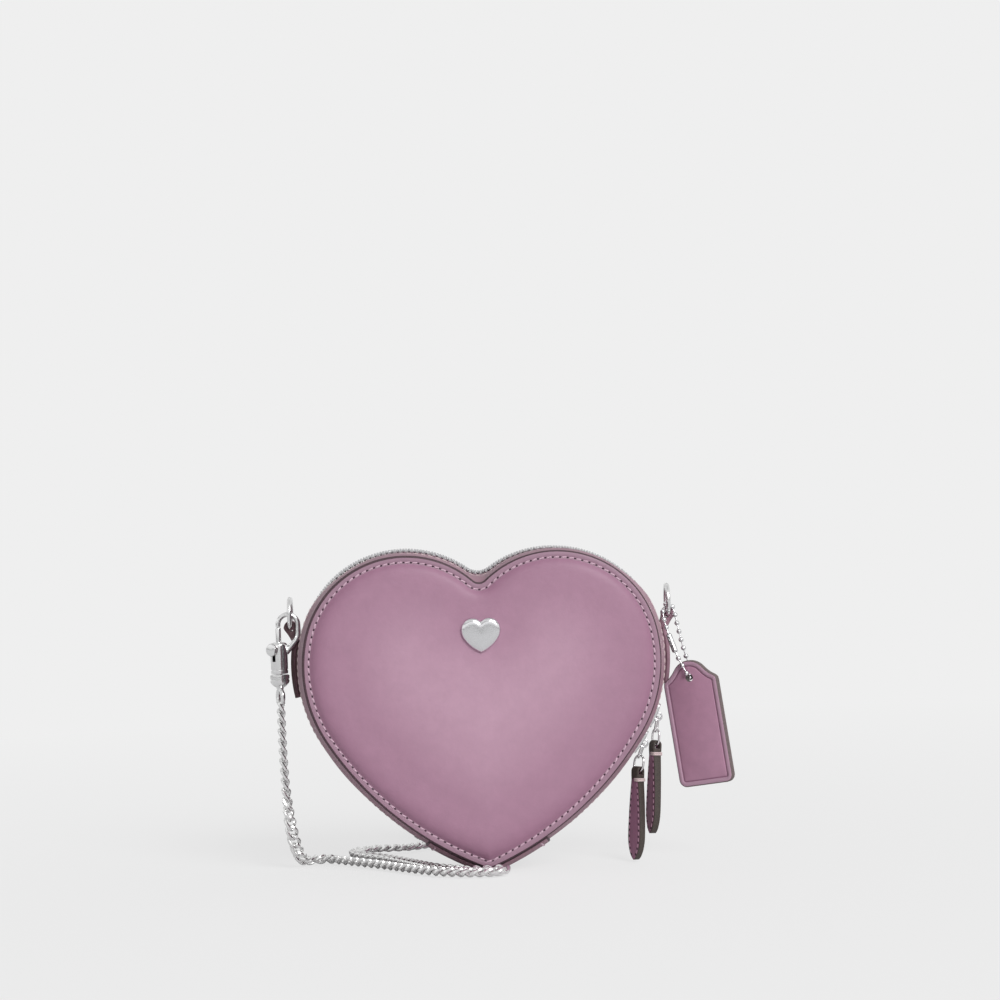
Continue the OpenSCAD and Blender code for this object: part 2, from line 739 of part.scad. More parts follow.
// Tube along a route, its section carried along without twisting
module route_tube(route, d, sides) {
  n = len(route);
  tangents = [for (i = [0:n - 1]) unit(route[min(i + 1, n - 1)] - route[max(i - 1, 0)])];
  first = unit(cross(tangents[0], abs(tangents[0][2]) > 0.9 ? [1, 0, 0] : [0, 0, 1]));
  normals = [for (i = 0, v = first; i < n;
    i = i + 1, v = i < n ? unit(v - (v * tangents[i]) * tangents[i]) : v) v];
  sweep_mesh([for (i = [0:n - 1])
    let (v = normals[i], w = cross(tangents[i], v))
    [for (k = [0:sides - 1]) route[i] + d / 2 * (v * cos(360 * k / sides) + w * sin(360 * k / sides))]]);
}

module chain() {
  color(silver) route_tube(chain_route, chain_d, chain_sides);
}

module chain_end() {
  color(silver) route_tube(concat([coil_out(chain_d), coil_out(1.6 * chain_d)], end_route), chain_d, chain_sides);
}

// The coil winds in on the surface, climbs a layer in its innermost half turn and winds out again
function coil_point(u) =
  let (
    mid = coil_turn / 2,
    r = coil_r - coil_step * (mid - abs(u - mid)) / 360,
    s = min(max((u - mid + 90) / 180, 0), 1)
  )
  [coil_c[0] + r * cos(180 - u), coil_c[1] + r * sin(180 - u),
    chain_d / 2 + coil_layer * s * s * (3 - 2 * s)];
// Straight way on from the end of the coil, and the whole coil with a straight piece at both ends
function coil_out(l) = coil_point(coil_turn) + l * [sin(coil_turn), cos(coil_turn), 0];
coil_route = concat([chain_route[len(chain_route) - 1]],
  [for (i = [0:coil_turn * coil_rings / 360]) coil_point(i * 360 / coil_rings)], [coil_out(chain_d)]);

module chain_coil() {
  gaps = [for (i = [0:len(coil_route) - 1], j = [i + coil_rings / 2:1:len(coil_route) - 1])
    norm(coil_route[j] - coil_route[i]) - chain_d];
  echo(least_coil_gap = min(gaps));
  echo(chain_length = route_length(chain_route) + route_length(coil_route) + route_length(end_route));
  color(silver) route_tube(coil_route, chain_d, coil_sides);
}

// Bead places, evenly along the closed route
bead_n = round(route_length(bead_route) / bead_pitch);
function point_on(p, s, i = 1) =
  let (step = norm(p[i] - p[i - 1]))
  s <= step || i == len(p) - 1 ? p[i - 1] + (p[i] - p[i - 1]) * s / step : point_on(p, s - step, i + 1);
function bead_at(k) = point_on(bead_route, route_length(bead_route) * (k % bead_n) / bead_n);

module bead_chain() {
  color(silver) for (k = [0:bead_n - 1]) {
    if (abs(k - connector_bead) > 1)
      translate(bead_at(k)) along_to(bead_at(k + 1) - bead_at(k)) sphere(bead_d / 2, $fn = 24);
    if (k < connector_bead - 1 || k > connector_bead)
      rod(bead_at(k), bead_at(k + 1), bead_rod_r);
  }
}

module bead_connector() {
  p = bead_at(connector_bead - 1);
  v = bead_at(connector_bead + 1) - p;
  end = 0.9;
  l = norm(v);
  color(silver) translate(p) along_to(v) rotate_extrude($fn = 24)
    polygon([[0, -end], [0.7, -end], [connector_r, -0.3], [connector_r, l + 0.3], [0.7, l + end], [0, l + end]]);
}

// Hang tag: domed top with hollow shoulders, rounded lower corners and one hole
module hang_tag() {
  w = tag_w / 2;
  dome_r = 9;
  shoulder = 9.5;
  corner_r = 3.5;
  half = concat(
    [for (a = [0:10:50]) [dome_r * sin(a), -dome_r * (1 - cos(a))]],
    [[8.6, -5.2], [10.4, -6.8], [w - 1, -shoulder + 1.6], [w, -shoulder]],
    [for (a = [0:18:90]) [w - corner_r + corner_r * cos(a), -tag_l + corner_r - corner_r * sin(a)]]
  );
  color(leather) translate(tag_hole_at) rotate([0, 0, tag_turn]) rotate([0, -tag_tilt, 0])
    slab(-tag_t / 2, tag_t / 2) translate([0, tag_hole_down]) difference() {
      polygon(concat(half, [for (i = [len(half) - 1:-1:1]) [-half[i][0], half[i][1]]]));
      translate([0, -tag_hole_down]) circle(tag_hole_r);
    }
}

back_panel();
back_stiffener();
back_gusset();
back_zip_tape();
back_zip_teeth();
back_end_stops();
back_lining();
slip_pocket();
base_patch();
left_ring_tab();
right_ring_tab();
front_panel();
front_stiffener();
front_gusset();
front_zip_tape();
front_zip_teeth();
front_end_stops();
front_lining();
base_patch_front();
heart_emblem();
emblem_backplate();
left_ring();
right_ring();
upper_slider();
upper_link();
upper_jump_ring();
upper_pull();
lower_slider();
lower_link();
lower_jump_ring();
lower_pull();
near_hook_frame();
near_hook_spring();
near_hook_bolt();
near_hook_swivel();
far_hook_frame();
far_hook_spring();
far_hook_bolt();
far_hook_swivel();
chain();
chain_coil();
chain_end();
bead_chain();
bead_connector();
hang_tag();
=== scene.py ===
"""Looks of the heart shaped purse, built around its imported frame.

+Z is up, the front faces -Y and z = 0 is the surface that it stands on.
"""

import math

import bmesh
import bpy
import numpy as np
from mathutils import Matrix, Vector


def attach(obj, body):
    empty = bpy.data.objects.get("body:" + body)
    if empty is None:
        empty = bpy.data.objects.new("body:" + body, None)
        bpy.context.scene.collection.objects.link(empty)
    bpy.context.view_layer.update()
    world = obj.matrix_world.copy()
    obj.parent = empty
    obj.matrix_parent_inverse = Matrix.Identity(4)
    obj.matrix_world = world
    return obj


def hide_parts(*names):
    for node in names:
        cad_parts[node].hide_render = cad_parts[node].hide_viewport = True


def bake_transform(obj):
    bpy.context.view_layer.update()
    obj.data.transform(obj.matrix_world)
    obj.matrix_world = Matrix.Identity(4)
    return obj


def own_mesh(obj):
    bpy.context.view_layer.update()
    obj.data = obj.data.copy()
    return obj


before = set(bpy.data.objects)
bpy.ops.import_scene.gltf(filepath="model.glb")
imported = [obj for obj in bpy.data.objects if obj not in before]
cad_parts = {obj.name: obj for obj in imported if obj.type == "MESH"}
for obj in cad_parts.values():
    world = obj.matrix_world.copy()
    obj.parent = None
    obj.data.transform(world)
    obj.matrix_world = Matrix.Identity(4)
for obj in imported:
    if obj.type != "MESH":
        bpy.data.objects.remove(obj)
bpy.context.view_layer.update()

MM = 0.001


def sin(a):
    return math.sin(math.radians(a))


def cos(a):
    return math.cos(math.radians(a))


def vec(*p):
    return np.array(p, float)


def unit(v):
    v = np.asarray(v, float)
    return v / np.maximum(np.linalg.norm(v, axis=-1, keepdims=True), 1e-9)


# Camera: a little below the middle of the purse, turned slightly and rolled, as the photo was taken
camera_at = Vector((-0.0163, -1.2217, 0.1695))
camera_turn, camera_roll = 1.3, 2.1
level = Vector((cos(camera_turn), -sin(camera_turn), 0))
ahead = Vector((sin(camera_turn), cos(camera_turn), 0))
up = Vector((0, 0, 1))
right_side = level * cos(camera_roll) - up * sin(camera_roll)
upper_side = level * sin(camera_roll) + up * cos(camera_roll)
camera = bpy.data.objects.new("camera", bpy.data.cameras.new("camera"))
camera.data.lens = 95.04
camera.data.clip_end = 20
camera.matrix_world = Matrix.Translation(camera_at) @ Matrix((right_side, upper_side, -ahead)).transposed().to_4x4()
bpy.context.scene.collection.objects.link(camera)
bpy.context.scene.camera = camera


# Materials

def add_node(tree, kind, *sources, **values):
    """A shader node. Each value goes to the socket of its name, with _ for a space, or to the node's own setting, and
    an output is linked. sources are linked to the first sockets; a node stands for its first output."""
    node = tree.nodes.new("ShaderNode" + kind)
    for name, value in values.items():
        socket = node.inputs.get(name.replace("_", " "))
        if isinstance(value, bpy.types.NodeSocket):
            tree.links.new(value, socket)
        elif socket is not None:
            socket.default_value = value
        else:
            setattr(node, name, value)
    for socket, source in zip(node.inputs, sources):
        tree.links.new(source.outputs[0] if isinstance(source, bpy.types.Node) else source, socket)
    return node


def add_ramp(tree, source, stops):
    """Colours along a source's values. Each stop is a place and a colour, or one number for a grey."""
    node = add_node(tree, "ValToRGB", source)
    elements = node.color_ramp.elements
    while len(elements) < len(stops):
        elements.new(0.5)
    for element, (place, colour) in zip(elements, stops):
        element.position = place
        element.color = (*np.broadcast_to(colour, 3), 1)
    return node.outputs["Color"]


class Surface:
    """A Principled material with texture nodes that work in millimetres of the object's own space."""

    def __init__(self, name, rough, metallic=0.0, coat=0.0, sheen=0.0):
        self.material = bpy.data.materials.new(name)
        self.material.use_nodes = True
        self.tree = self.material.node_tree
        self.inputs = self.tree.nodes["Principled BSDF"].inputs
        for socket, value in (("Roughness", rough), ("Metallic", metallic), ("Coat Weight", coat),
                              ("Coat Roughness", 0.25), ("Sheen Weight", sheen)):
            self.inputs[socket].default_value = value
        self.coordinates = add_node(self.tree, "TexCoord").outputs
        self.bump = None

    def link(self, source, socket):
        self.tree.links.new(source, self.inputs[socket])

    def texture(self, kind, per_mm, stretch=(1, 1, 1), turn=(0, 0, 0), **values):
        mapping = add_node(self.tree, "Mapping", self.coordinates["Object"],
                           Scale=[s * per_mm * 1000 for s in stretch], Rotation=[math.radians(a) for a in turn])
        node = add_node(self.tree, "Tex" + kind, mapping, **values)
        return node.outputs["Distance" if kind == "Voronoi" else "Fac"]

    def tint(self, source, colour, *stops):
        """Base colour along a texture's values. Each stop is a place and a factor of colour."""
        stops = [(place, [min(c * k, 1) for c in colour]) for place, k in stops]
        self.link(add_ramp(self.tree, source, stops), "Base Color")

    def roughness(self, source, low, high):
        self.link(add_ramp(self.tree, source, [(0.3, low), (0.7, high)]), "Roughness")

    def relief(self, source, height_mm, strength):
        """Bump, on top of the ones before it."""
        node = add_node(self.tree, "Bump", Strength=strength, Distance=height_mm * MM, Height=source)
        if self.bump:
            self.tree.links.new(self.bump.outputs["Normal"], node.inputs["Normal"])
        self.link(node.outputs["Normal"], "Normal")
        self.bump = node


inset_reach = 60


def leather(name, colour, rough=0.5, grain=1.0, cloudy=0.03, border=None):
    """border, a painted shade, is the colour at the piece's outline; it fades into colour over inset_reach mm by the UV
    map.
    """
    s = Surface(name, rough, coat=0.06, sheen=0.05)
    clouds = s.texture("Noise", 0.035, Detail=4.0, Roughness=0.6)
    if border:
        fade = ((0.05, 0), (0.2, 0.3), (0.4, 0.42), (0.68, 0.78), (1.0, 1))
        inset = add_ramp(s.tree, add_node(s.tree, "SeparateXYZ", s.coordinates["UV"]),
                         [(place, [b + (c - b) * k for b, c in zip(border, colour)]) for place, k in fade])
        shade = add_ramp(s.tree, clouds, [(0.32, 1 - cloudy), (0.68, 1)])
        mix = add_node(s.tree, "Mix", data_type="RGBA", blend_type="MULTIPLY", Factor=1, A=inset, B=shade)
        s.link(mix.outputs["Result"], "Base Color")
    else:
        s.tint(clouds, colour, (0.32, 1 - cloudy), (0.68, 1 + cloudy))
    s.relief(s.texture("Voronoi", 1.5 * grain, Randomness=1.0), 0.08, 0.4)
    s.relief(s.texture("Noise", 1.4, Detail=5.0, Roughness=0.65), 0.12, 0.4)
    s.relief(s.texture("Noise", 0.09, Detail=2.0), 0.5, 0.15)
    s.roughness(s.texture("Noise", 0.4, Detail=3.0), rough - 0.05, rough + 0.06)
    return s.material


def edge_paint(name, colour, rough=0.55):
    s = Surface(name, rough, coat=0.05)
    s.tint(s.texture("Noise", 0.35, Detail=5.0), colour, (0.35, 0.7), (0.65, 1.35))
    s.relief(s.texture("Noise", 1.1, Detail=4.0), 0.18, 0.6)
    return s.material


def thread(name, colour):
    s = Surface(name, 0.62, sheen=0.3)
    strands = s.texture("Wave", 1.6, turn=(0, 35, 40), Distortion=1.2, Detail=1.0)
    s.tint(strands, colour, (0.2, 0.72), (0.7, 1.08))
    s.relief(strands, 0.07, 0.7)
    return s.material


def cloth(name, colour, threads_per_mm):
    s = Surface(name, 0.85, sheen=0.25)
    warp, weft = [s.texture("Wave", threads_per_mm / 2, turn=(0, turn, 45), Distortion=0.6, Detail=1.0)
                  for turn in (0, 90)]
    s.tint(warp, colour, (0.2, 0.82), (0.8, 1.1))
    s.relief(warp, 0.15, 0.6)
    s.relief(weft, 0.15, 0.6)
    return s.material


def metal(name, colour, rough):
    s = Surface(name, rough, metallic=1.0)
    haze = s.texture("Noise", 0.3, Detail=6.0, Roughness=0.7)
    s.tint(haze, colour, (0.35, 0.93), (0.65, 1.03))
    s.roughness(haze, rough * 0.8, rough * 1.3)
    s.relief(s.texture("Noise", 0.8, stretch=(1, 1, 0.15), Detail=3.0), 0.01, 0.25)
    return s.material


def board(name, colour):
    s = Surface(name, 0.9)
    fibres = s.texture("Noise", 1.2, stretch=(1, 1, 0.3), Detail=8.0, Roughness=0.7)
    s.tint(fibres, colour, (0.3, 0.85), (0.7, 1.05))
    s.relief(fibres, 0.05, 0.5)
    return s.material


M = {
    # The panel's border colour is painted shade, darker towards the outline where the padded crown turns from the
    # light.
    "panel": leather("panel_leather", (0.51, 0.305, 0.405), grain=0.8, cloudy=0.06, border=(0.33, 0.16, 0.245)),
    # The flat border is a darker copy of the panel leather: painted shade, like the panel's outline.
    "flange": leather("flange_shaded_leather", (0.33, 0.195, 0.262)),
    "gusset": leather("gusset_leather", (0.325, 0.18, 0.232), rough=0.52),
    # The patch leather is darker partly by its own tone and partly as painted shade of its place low under the purse.
    "patch": leather("patch_leather", (0.31, 0.16, 0.21), rough=0.52),
    "tab": leather("tab_leather", (0.30, 0.17, 0.21), rough=0.48),
    "tab_paint": edge_paint("tab_edge_paint", (0.085, 0.04, 0.047)),
    "pull": leather("pull_leather", (0.26, 0.115, 0.185), rough=0.46),
    "tag": leather("tag_leather", (0.43, 0.225, 0.325), rough=0.48, cloudy=0.05),
    # The tag's raised rim is a lighter copy of its leather, a painted highlight; the pressed line is a darker copy,
    # painted shade in the recess.
    "tag_rim": leather("tag_rim_highlight_leather", (0.44, 0.27, 0.36), rough=0.45),
    "groove": leather("groove_shade_leather", (0.24, 0.11, 0.175), rough=0.6),
    "paint": edge_paint("edge_paint", (0.062, 0.028, 0.04)),
    "pull_paint": edge_paint("pull_edge_paint", (0.05, 0.038, 0.032)),
    "tag_paint": edge_paint("tag_edge_paint", (0.13, 0.095, 0.095)),
    "thread": thread("stitch_thread", (0.74, 0.50, 0.62)),
    "pale_thread": thread("bar_thread", (0.78, 0.62, 0.62)),
    "pull_thread": thread("pull_thread", (0.40, 0.22, 0.30)),
    # Painted shade for the stitch holes.
    "hole": edge_paint("stitch_hole_shade", (0.05, 0.018, 0.036), rough=0.8),
    "tape": cloth("zip_tape_cloth", (0.42, 0.32, 0.36), 2.2),
    "lining": cloth("lining_cloth", (0.24, 0.155, 0.205), 1.6),
    "board": board("stiffener_board", (0.6, 0.57, 0.52)),
    "silver": metal("silver_metal", (0.86, 0.86, 0.86), 0.16),
    "chain": metal("chain_metal", (0.88, 0.88, 0.875), 0.2),
    "zip": metal("zip_metal", (0.76, 0.76, 0.77), 0.2),
    "emblem": metal("emblem_metal", (0.80, 0.80, 0.815), 0.16),
    "bead": metal("bead_metal", (0.78, 0.78, 0.79), 0.15),
    "spring": metal("spring_steel", (0.52, 0.52, 0.53), 0.3),
    # Dark metal for the hooks' hollows: painted shade inside them.
    "dark_metal": metal("dark_metal", (0.09, 0.09, 0.095), 0.4),
}


# Mesh building

class Shape:
    """A mesh under construction: points in millimetres and faces with a material number each."""

    def __init__(self):
        self.points, self.faces, self.kinds, self.count = [], [], [], 0

    def add(self, points, faces, kinds=0):
        points = np.asarray(points, float).reshape(-1, 3)
        self.points.append(points)
        self.faces.append(np.asarray(faces, int) + self.count)
        self.kinds.append(np.broadcast_to(kinds, len(faces)))
        self.count += len(points)
        return self

    def grid(self, rows, kind=0, around=False, closed=False):
        """Quads over rows of points. around joins each row's ends, closed joins the last row to the first.
        kind is one number, or one per face as (rows, columns)."""
        rows = np.asarray(rows, float)
        n, m = rows.shape[:2]
        i, j = np.meshgrid(np.arange(n if closed else n - 1), np.arange(m if around else m - 1), indexing="ij")
        i2, j2 = (i + 1) % n, (j + 1) % m
        faces = np.stack([i * m + j, i * m + j2, i2 * m + j2, i2 * m + j], axis=-1)
        kinds = np.broadcast_to(kind, faces.shape[:2]).reshape(-1)
        return self.add(rows, faces.reshape(-1, 4), kinds)

    def cap(self, ring, kind=0):
        """Closes a ring of points with triangles to its middle."""
        ring = np.asarray(ring, float)
        n = len(ring)
        j = np.arange(n)
        return self.add(np.vstack([ring, ring.mean(0)]), np.stack([j, (j + 1) % n, np.full(n, n)], axis=-1), kind)

    def loft(self, rows, kind=0, cap=0):
        """Rings joined one to the next and closed at both ends."""
        return self.grid(rows, kind, around=True).cap(rows[0], cap).cap(rows[-1], cap)

    def sweep(self, path, section, side=None, closed=False, kind=0):
        """A section, points (across, out), carried along a path. side is the way across; without it the
        section is carried along without twisting. section may be a list, one for each point of the path."""
        path = np.asarray(path, float)
        a, b = frames(path, side, closed)
        section = np.asarray(section, float)
        if section.ndim == 2:
            section = np.broadcast_to(section, (len(path), *section.shape))
        rows = path[:, None] + section[..., :1] * a[:, None] + section[..., 1:] * b[:, None]
        if closed:
            return self.grid(rows, kind, around=True, closed=True)
        return self.loft(rows, kind, int(np.max(kind)))

    def tube(self, path, r, sides=12, closed=False, kind=0, rounded=False):
        """Round wire; rounded ends it in half balls."""
        path = np.asarray(path, float)
        radius = np.broadcast_to(r, len(path)).astype(float)
        if rounded:
            start, stop = unit(path[0] - path[1]), unit(path[-1] - path[-2])
            r0, r1 = radius[0], radius[-1]
            path = np.vstack([path[0] + start * r0 * 0.98, path[0] + start * r0 * 0.7, path[:-1],
                              path[-1], path[-1] + stop * r1 * 0.7, path[-1] + stop * r1 * 0.98])
            radius = np.concatenate([[0.15 * r0, 0.7 * r0], radius, [0.7 * r1, 0.15 * r1]])
        circle = np.array([(cos(a), sin(a)) for a in np.linspace(0, 360, sides, endpoint=False)])
        return self.sweep(path, radius[:, None, None] * circle, closed=closed, kind=kind)

    def lathe(self, profile, place=None, steps=40, kind=0, span=(0, 360)):
        """Turns a profile of (radius, height) about Z, moved by the matrix place."""
        profile = np.asarray(profile, float)
        whole = span[1] - span[0] >= 360
        a = np.radians(np.linspace(*span, steps, endpoint=not whole))
        rows = np.stack([np.outer(profile[:, 0], np.cos(a)), np.outer(profile[:, 0], np.sin(a)),
                         np.repeat(profile[:, 1:], len(a), axis=1)], axis=-1)
        return self.grid(moved(rows, place), kind, around=whole)

    def ball(self, r, place, kind=0, rings=12, sides=20):
        """Ball, or an egg with three radii."""
        profile = [(max(cos(a), 1e-3), sin(a)) for a in np.linspace(-90, 90, rings + 1)]
        return self.lathe(profile, place @ np.diag([*np.broadcast_to(r, 3), 1]), sides, kind)

    def copies(self, other, places):
        """Adds another shape once for each matrix in places."""
        for place in places:
            base = self.count
            self.points += [moved(points, place) for points in other.points]
            self.faces += [faces + base for faces in other.faces]
            self.kinds += other.kinds
            self.count += other.count
        return self

    def move(self, place):
        """Moves what is there so far."""
        self.points = [moved(points, place) for points in self.points]
        return self

    def make(self, name, body, materials, slot, replaces=None, crease=38, weld=True):
        """The finished object. materials are keys of M, and body is None for a piece that goes on no body.
        replaces, the CAD nodes that it stands for, is the name without its last word if left out."""
        if replaces is None:
            replaces = name.rsplit("_", 1)[0]
        mesh = bpy.data.meshes.new(name)
        mesh.from_pydata(np.vstack(self.points) * MM, [], [f for block in self.faces for f in block.tolist()])
        mesh.polygons.foreach_set("material_index", np.concatenate(self.kinds).astype(np.int32))
        for look in materials.split():
            mesh.materials.append(M[look])
        work = bmesh.new()
        work.from_mesh(mesh)
        if weld:
            bmesh.ops.remove_doubles(work, verts=work.verts, dist=0.004 * MM)
        bmesh.ops.recalc_face_normals(work, faces=work.faces)
        work.to_mesh(mesh)
        work.free()
        mesh.shade_smooth()
        mesh.set_sharp_from_angle(angle=math.radians(crease))
        obj = bpy.data.objects.new(name, mesh)
        bpy.context.scene.collection.objects.link(obj)
        if body:
            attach(obj, body)
        if replaces:
            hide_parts(*([replaces] if isinstance(replaces, str) else replaces))
        return obj


def frames(path, side=None, closed=False):
    """The two directions across a path at each of its points, the first as near to side as it can be."""
    if closed:
        t = unit(np.roll(path, -1, 0) - np.roll(path, 1, 0))
    else:
        t = unit(np.gradient(path, axis=0))
    if side is not None:
        a = np.broadcast_to(np.asarray(side, float), path.shape)
        a = unit(a - (a * t).sum(-1, keepdims=True) * t)
        return a, np.cross(t, a)
    v = np.cross(t[0], (1, 0, 0) if abs(t[0][2]) > 0.9 else (0, 0, 1))
    a = []
    for d in t:
        v = unit(v - (v @ d) * d)
        a.append(v)
    a = np.array(a)
    if closed:
        drift = math.atan2(np.cross(a[-1], a[0]) @ t[0], a[-1] @ a[0])
        k = np.linspace(0, drift, len(path), endpoint=False)[:, None]
        a = a * np.cos(k) + np.cross(t, a) * np.sin(k)
    return a, np.cross(t, a)


def moved(points, place):
    if place is None:
        return np.asarray(points, float)
    place = np.asarray(place, float)
    return np.asarray(points, float) @ place[:3, :3].T + place[:3, 3]


def shift(*p):
    m = np.eye(4)
    m[:3, 3] = p
    return m


def turned(axis, a):
    return np.array(Matrix.Rotation(math.radians(a), 4, axis))


def axes(origin, x, y, z):
    """Place with the given axes."""
    m = np.eye(4)
    m[:3, 0], m[:3, 1], m[:3, 2], m[:3, 3] = x, y, z, origin
    return m


def aimed(p, direction):
    """Place that takes +Z at the origin to a direction at p."""
    z = unit(direction)
    x = unit(np.cross((0, 1, 0) if abs(z[1]) < 0.9 else (1, 0, 0), z))
    return axes(p, x, np.cross(z, x), z)


def spline(points, step):
    """Smooth line through given points, in steps of about one length."""
    p = np.asarray(points, float)
    p = np.vstack([2 * p[0] - p[1], p, 2 * p[-1] - p[-2]])
    out = []
    for a, b, c, d in zip(p, p[1:], p[2:], p[3:]):
        n = max(2, int(np.linalg.norm(c - b) / step))
        s = np.linspace(0, 1, n, endpoint=False)[:, None]
        out.append(0.5 * (2 * b + (c - a) * s + (2 * a - 5 * b + 4 * c - d) * s ** 2
                          + (3 * b - a - 3 * c + d) * s ** 3))
    return np.vstack([*out, p[-2:-1]])


def spaced(path, pitch, closed=False, margin=0.0):
    """Even places along a path, about pitch apart, and the directions there, taken over reach to each side."""
    reach = 0.4
    path = np.asarray(path, float)
    if closed:
        path = np.vstack([path, path[:1]])
    s = np.concatenate([[0], np.cumsum(np.linalg.norm(np.diff(path, axis=0), axis=1))])
    n = max(2, round((s[-1] - 2 * margin) / pitch))
    at = np.linspace(margin, s[-1] - margin, n if closed else n + 1, endpoint=not closed)

    def points(where):
        return np.stack([np.interp(where, s, path[:, k]) for k in range(3)], axis=-1)

    return points(at), unit(points(np.minimum(at + reach, s[-1])) - points(np.maximum(at - reach, 0)))


def nearest(path, places):
    """Number of the path's point nearest to each place."""
    return [int(np.argmin(np.linalg.norm(path - p, axis=1))) for p in places]


def rounded_box(across, out, bevel, steps=3):
    """Section of a strip: a rectangle with round corners, as (across, out) points."""
    ring = []
    for cx, cy, start in ((1, 1, 0), (-1, 1, 90), (-1, -1, 180), (1, -1, 270)):
        for k in range(steps + 1):
            a = start + 90 * k / steps
            ring.append((cx * (across / 2 - bevel) + bevel * cos(a), cy * (out / 2 - bevel) + bevel * sin(a)))
    return np.array(ring)


def end_faces(section, over):
    """1 for the faces of a section that lie more than over from its middle, 0 for the rest."""
    across = np.abs(np.array(section)[:, 0])
    return (np.minimum(across, np.roll(across, -1)) > over).astype(int)


def stitches(shape, path, out, pitch=3.4, length=2.1, r=0.44, closed=False, holes=True, margin=0.0, kind=0,
             hole_kind=1):
    """A row of saddle stitches along a path. out is the way the surface faces, one for all or one a point."""
    slant, sink = 9, 0.15
    place, along = spaced(path, pitch, closed, margin)
    out = np.asarray(out, float)
    if out.ndim == 2:
        out = out[nearest(path, place)]
    out = np.broadcast_to(out, place.shape)
    out = unit(out - (out * along).sum(-1, keepdims=True) * along)
    places = [axes(*way) for way in zip(place, along, np.cross(out, along), out)]
    x = np.linspace(-1, 1, 7)
    line = np.stack([x * length / 2, 0 * x, r * 0.35 * (1 - x ** 4) - sink], axis=-1)
    one = Shape().tube(line, r * (1 - 0.25 * x ** 4), 8, rounded=True, kind=kind)
    shape.copies(one, [place @ turned("Z", slant) for place in places])
    if holes:
        # Dark flat marks between the stitches are painted shade of the stitch holes.
        shape.copies(Shape().ball((0.66, 0.5, 0.22), shift(pitch / 2, 0, -0.06), hole_kind, 6, 10), places)
    return shape


# Outline of the heart, as in the part's source

flank_r, side_r, lobe_r = 150.0, 63.0, 47.0
tip_angle, side_start, lobe_start = 21.5, 58.0, 102.0
tip_z, sag, bulge, edge_in, seam_y = 2.0, 0.6, 2.8, 0.6, 19.5
panel_tip_r, panel_cleft_r, zip_tip_r, zip_cleft_r = 2.5, 4.0, 12.0, 9.0
patch_t, patch_reach = 1.5, 33.0
teeth_low, teeth_top = 0.7, 3.0
teeth_mid = (teeth_low + teeth_top) / 2
flank_c = vec(-flank_r * sin(tip_angle), tip_z + flank_r * cos(tip_angle))
side_c = flank_c + (flank_r - side_r) * vec(sin(side_start), -cos(side_start))
lobe_c = side_c + (side_r - lobe_r) * vec(sin(lobe_start), -cos(lobe_start))
middle = vec(0, 75)
heart_w, heart_h = 164, 146


def arc(c, r, a0, a1, n, last=False):
    a = np.radians(np.linspace(a0, a1, n, endpoint=last))
    return np.stack([c[0] + r * np.sin(a), c[1] - r * np.cos(a)], axis=-1)


def tip(flank, r):
    """Where a tip of radius r goes over into a flank of radius flank, in degrees, and the height of its centre."""
    far = flank - r
    return math.degrees(math.asin(-flank_c[0] / far)), flank_c[1] - math.sqrt(far ** 2 - flank_c[0] ** 2)


def heart(b, drop, tip_r, cleft_r, fine=1.0):
    """Closed outline b outside the panels' edge, from the tip up the right side and down the left. fine scales
    the number of its points."""
    fr, lr = flank_r + b, lobe_r + b
    tip_a, tip_cz = tip(fr, tip_r)
    cleft_a = math.degrees(math.asin(lobe_c[0] / (lr + cleft_r)))
    cleft_cz = lobe_c[1] + math.sqrt((lr + cleft_r) ** 2 - lobe_c[0] ** 2)
    n = [max(2, round(k * fine)) for k in (10, 120, 64, 120, 14)]
    half = np.vstack([
        arc((0, tip_cz), tip_r, 0, tip_a, n[0]),
        arc(flank_c, fr, tip_a, side_start, n[1]),
        arc(side_c, side_r + b, side_start, lobe_start, n[2]),
        arc(lobe_c, lr, lobe_start, 180 + cleft_a, n[3]),
        arc((0, cleft_cz), cleft_r, cleft_a, 0, n[4], last=True),
    ])
    whole = np.vstack([half, half[-2:0:-1] * (-1, 1)])
    return whole - (0, drop)


def panel_outline(inward, fine=1.0):
    return heart(-inward, 0, panel_tip_r, panel_cleft_r + inward, fine)


def at_depth(y, zip_value, seam_value):
    """A measure of the gusset at depth y, from its values at the zip and at the panel's seam."""
    t2 = (y / seam_y) ** 2
    return zip_value * (1 - t2) + seam_value * t2


def skin(y, inward=0.0):
    """Outline on the gusset's outer skin at depth y, moved in from it."""
    return heart(at_depth(y, bulge, -edge_in) - inward, at_depth(y, sag, 0),
                 max(at_depth(y, zip_tip_r, panel_tip_r) - inward, 1),
                 at_depth(y, zip_cleft_r, panel_cleft_r) + inward)


def zip_line(b):
    return heart(b, sag, zip_tip_r + b - bulge, zip_cleft_r + bulge - b)


def in_depth(outline, y, floor=-99.0):
    """Outline points as (x, y, z), not below floor."""
    y = np.broadcast_to(y, len(outline))
    return np.stack([outline[:, 0], y, np.maximum(outline[:, 1], floor)], axis=-1)


def outward(path):
    """Directions away from the inside, across a closed outline in depth."""
    n = np.cross(unit(np.roll(path, -1, 0) - np.roll(path, 1, 0)), (0, 1, 0))
    sign = np.sign((n * (path * (1, 0, 1) - (0, 0, middle[1]))).sum(-1).mean())
    return unit(n * sign)


def wobble(p):
    """Slow uneven swelling of soft leather, from three crossing waves."""
    x, y, z = p[..., 0], p[..., 1], p[..., 2]
    return (0.5 * np.sin(x / 13 + z / 29 + 1) * np.sin(z / 17 - x / 31 + y / 9)
            + 0.3 * np.sin(x / 7.3 - z / 11 + 2) + 0.2 * np.sin(z / 5.9 + x / 9 + y / 4))


# The chain strap

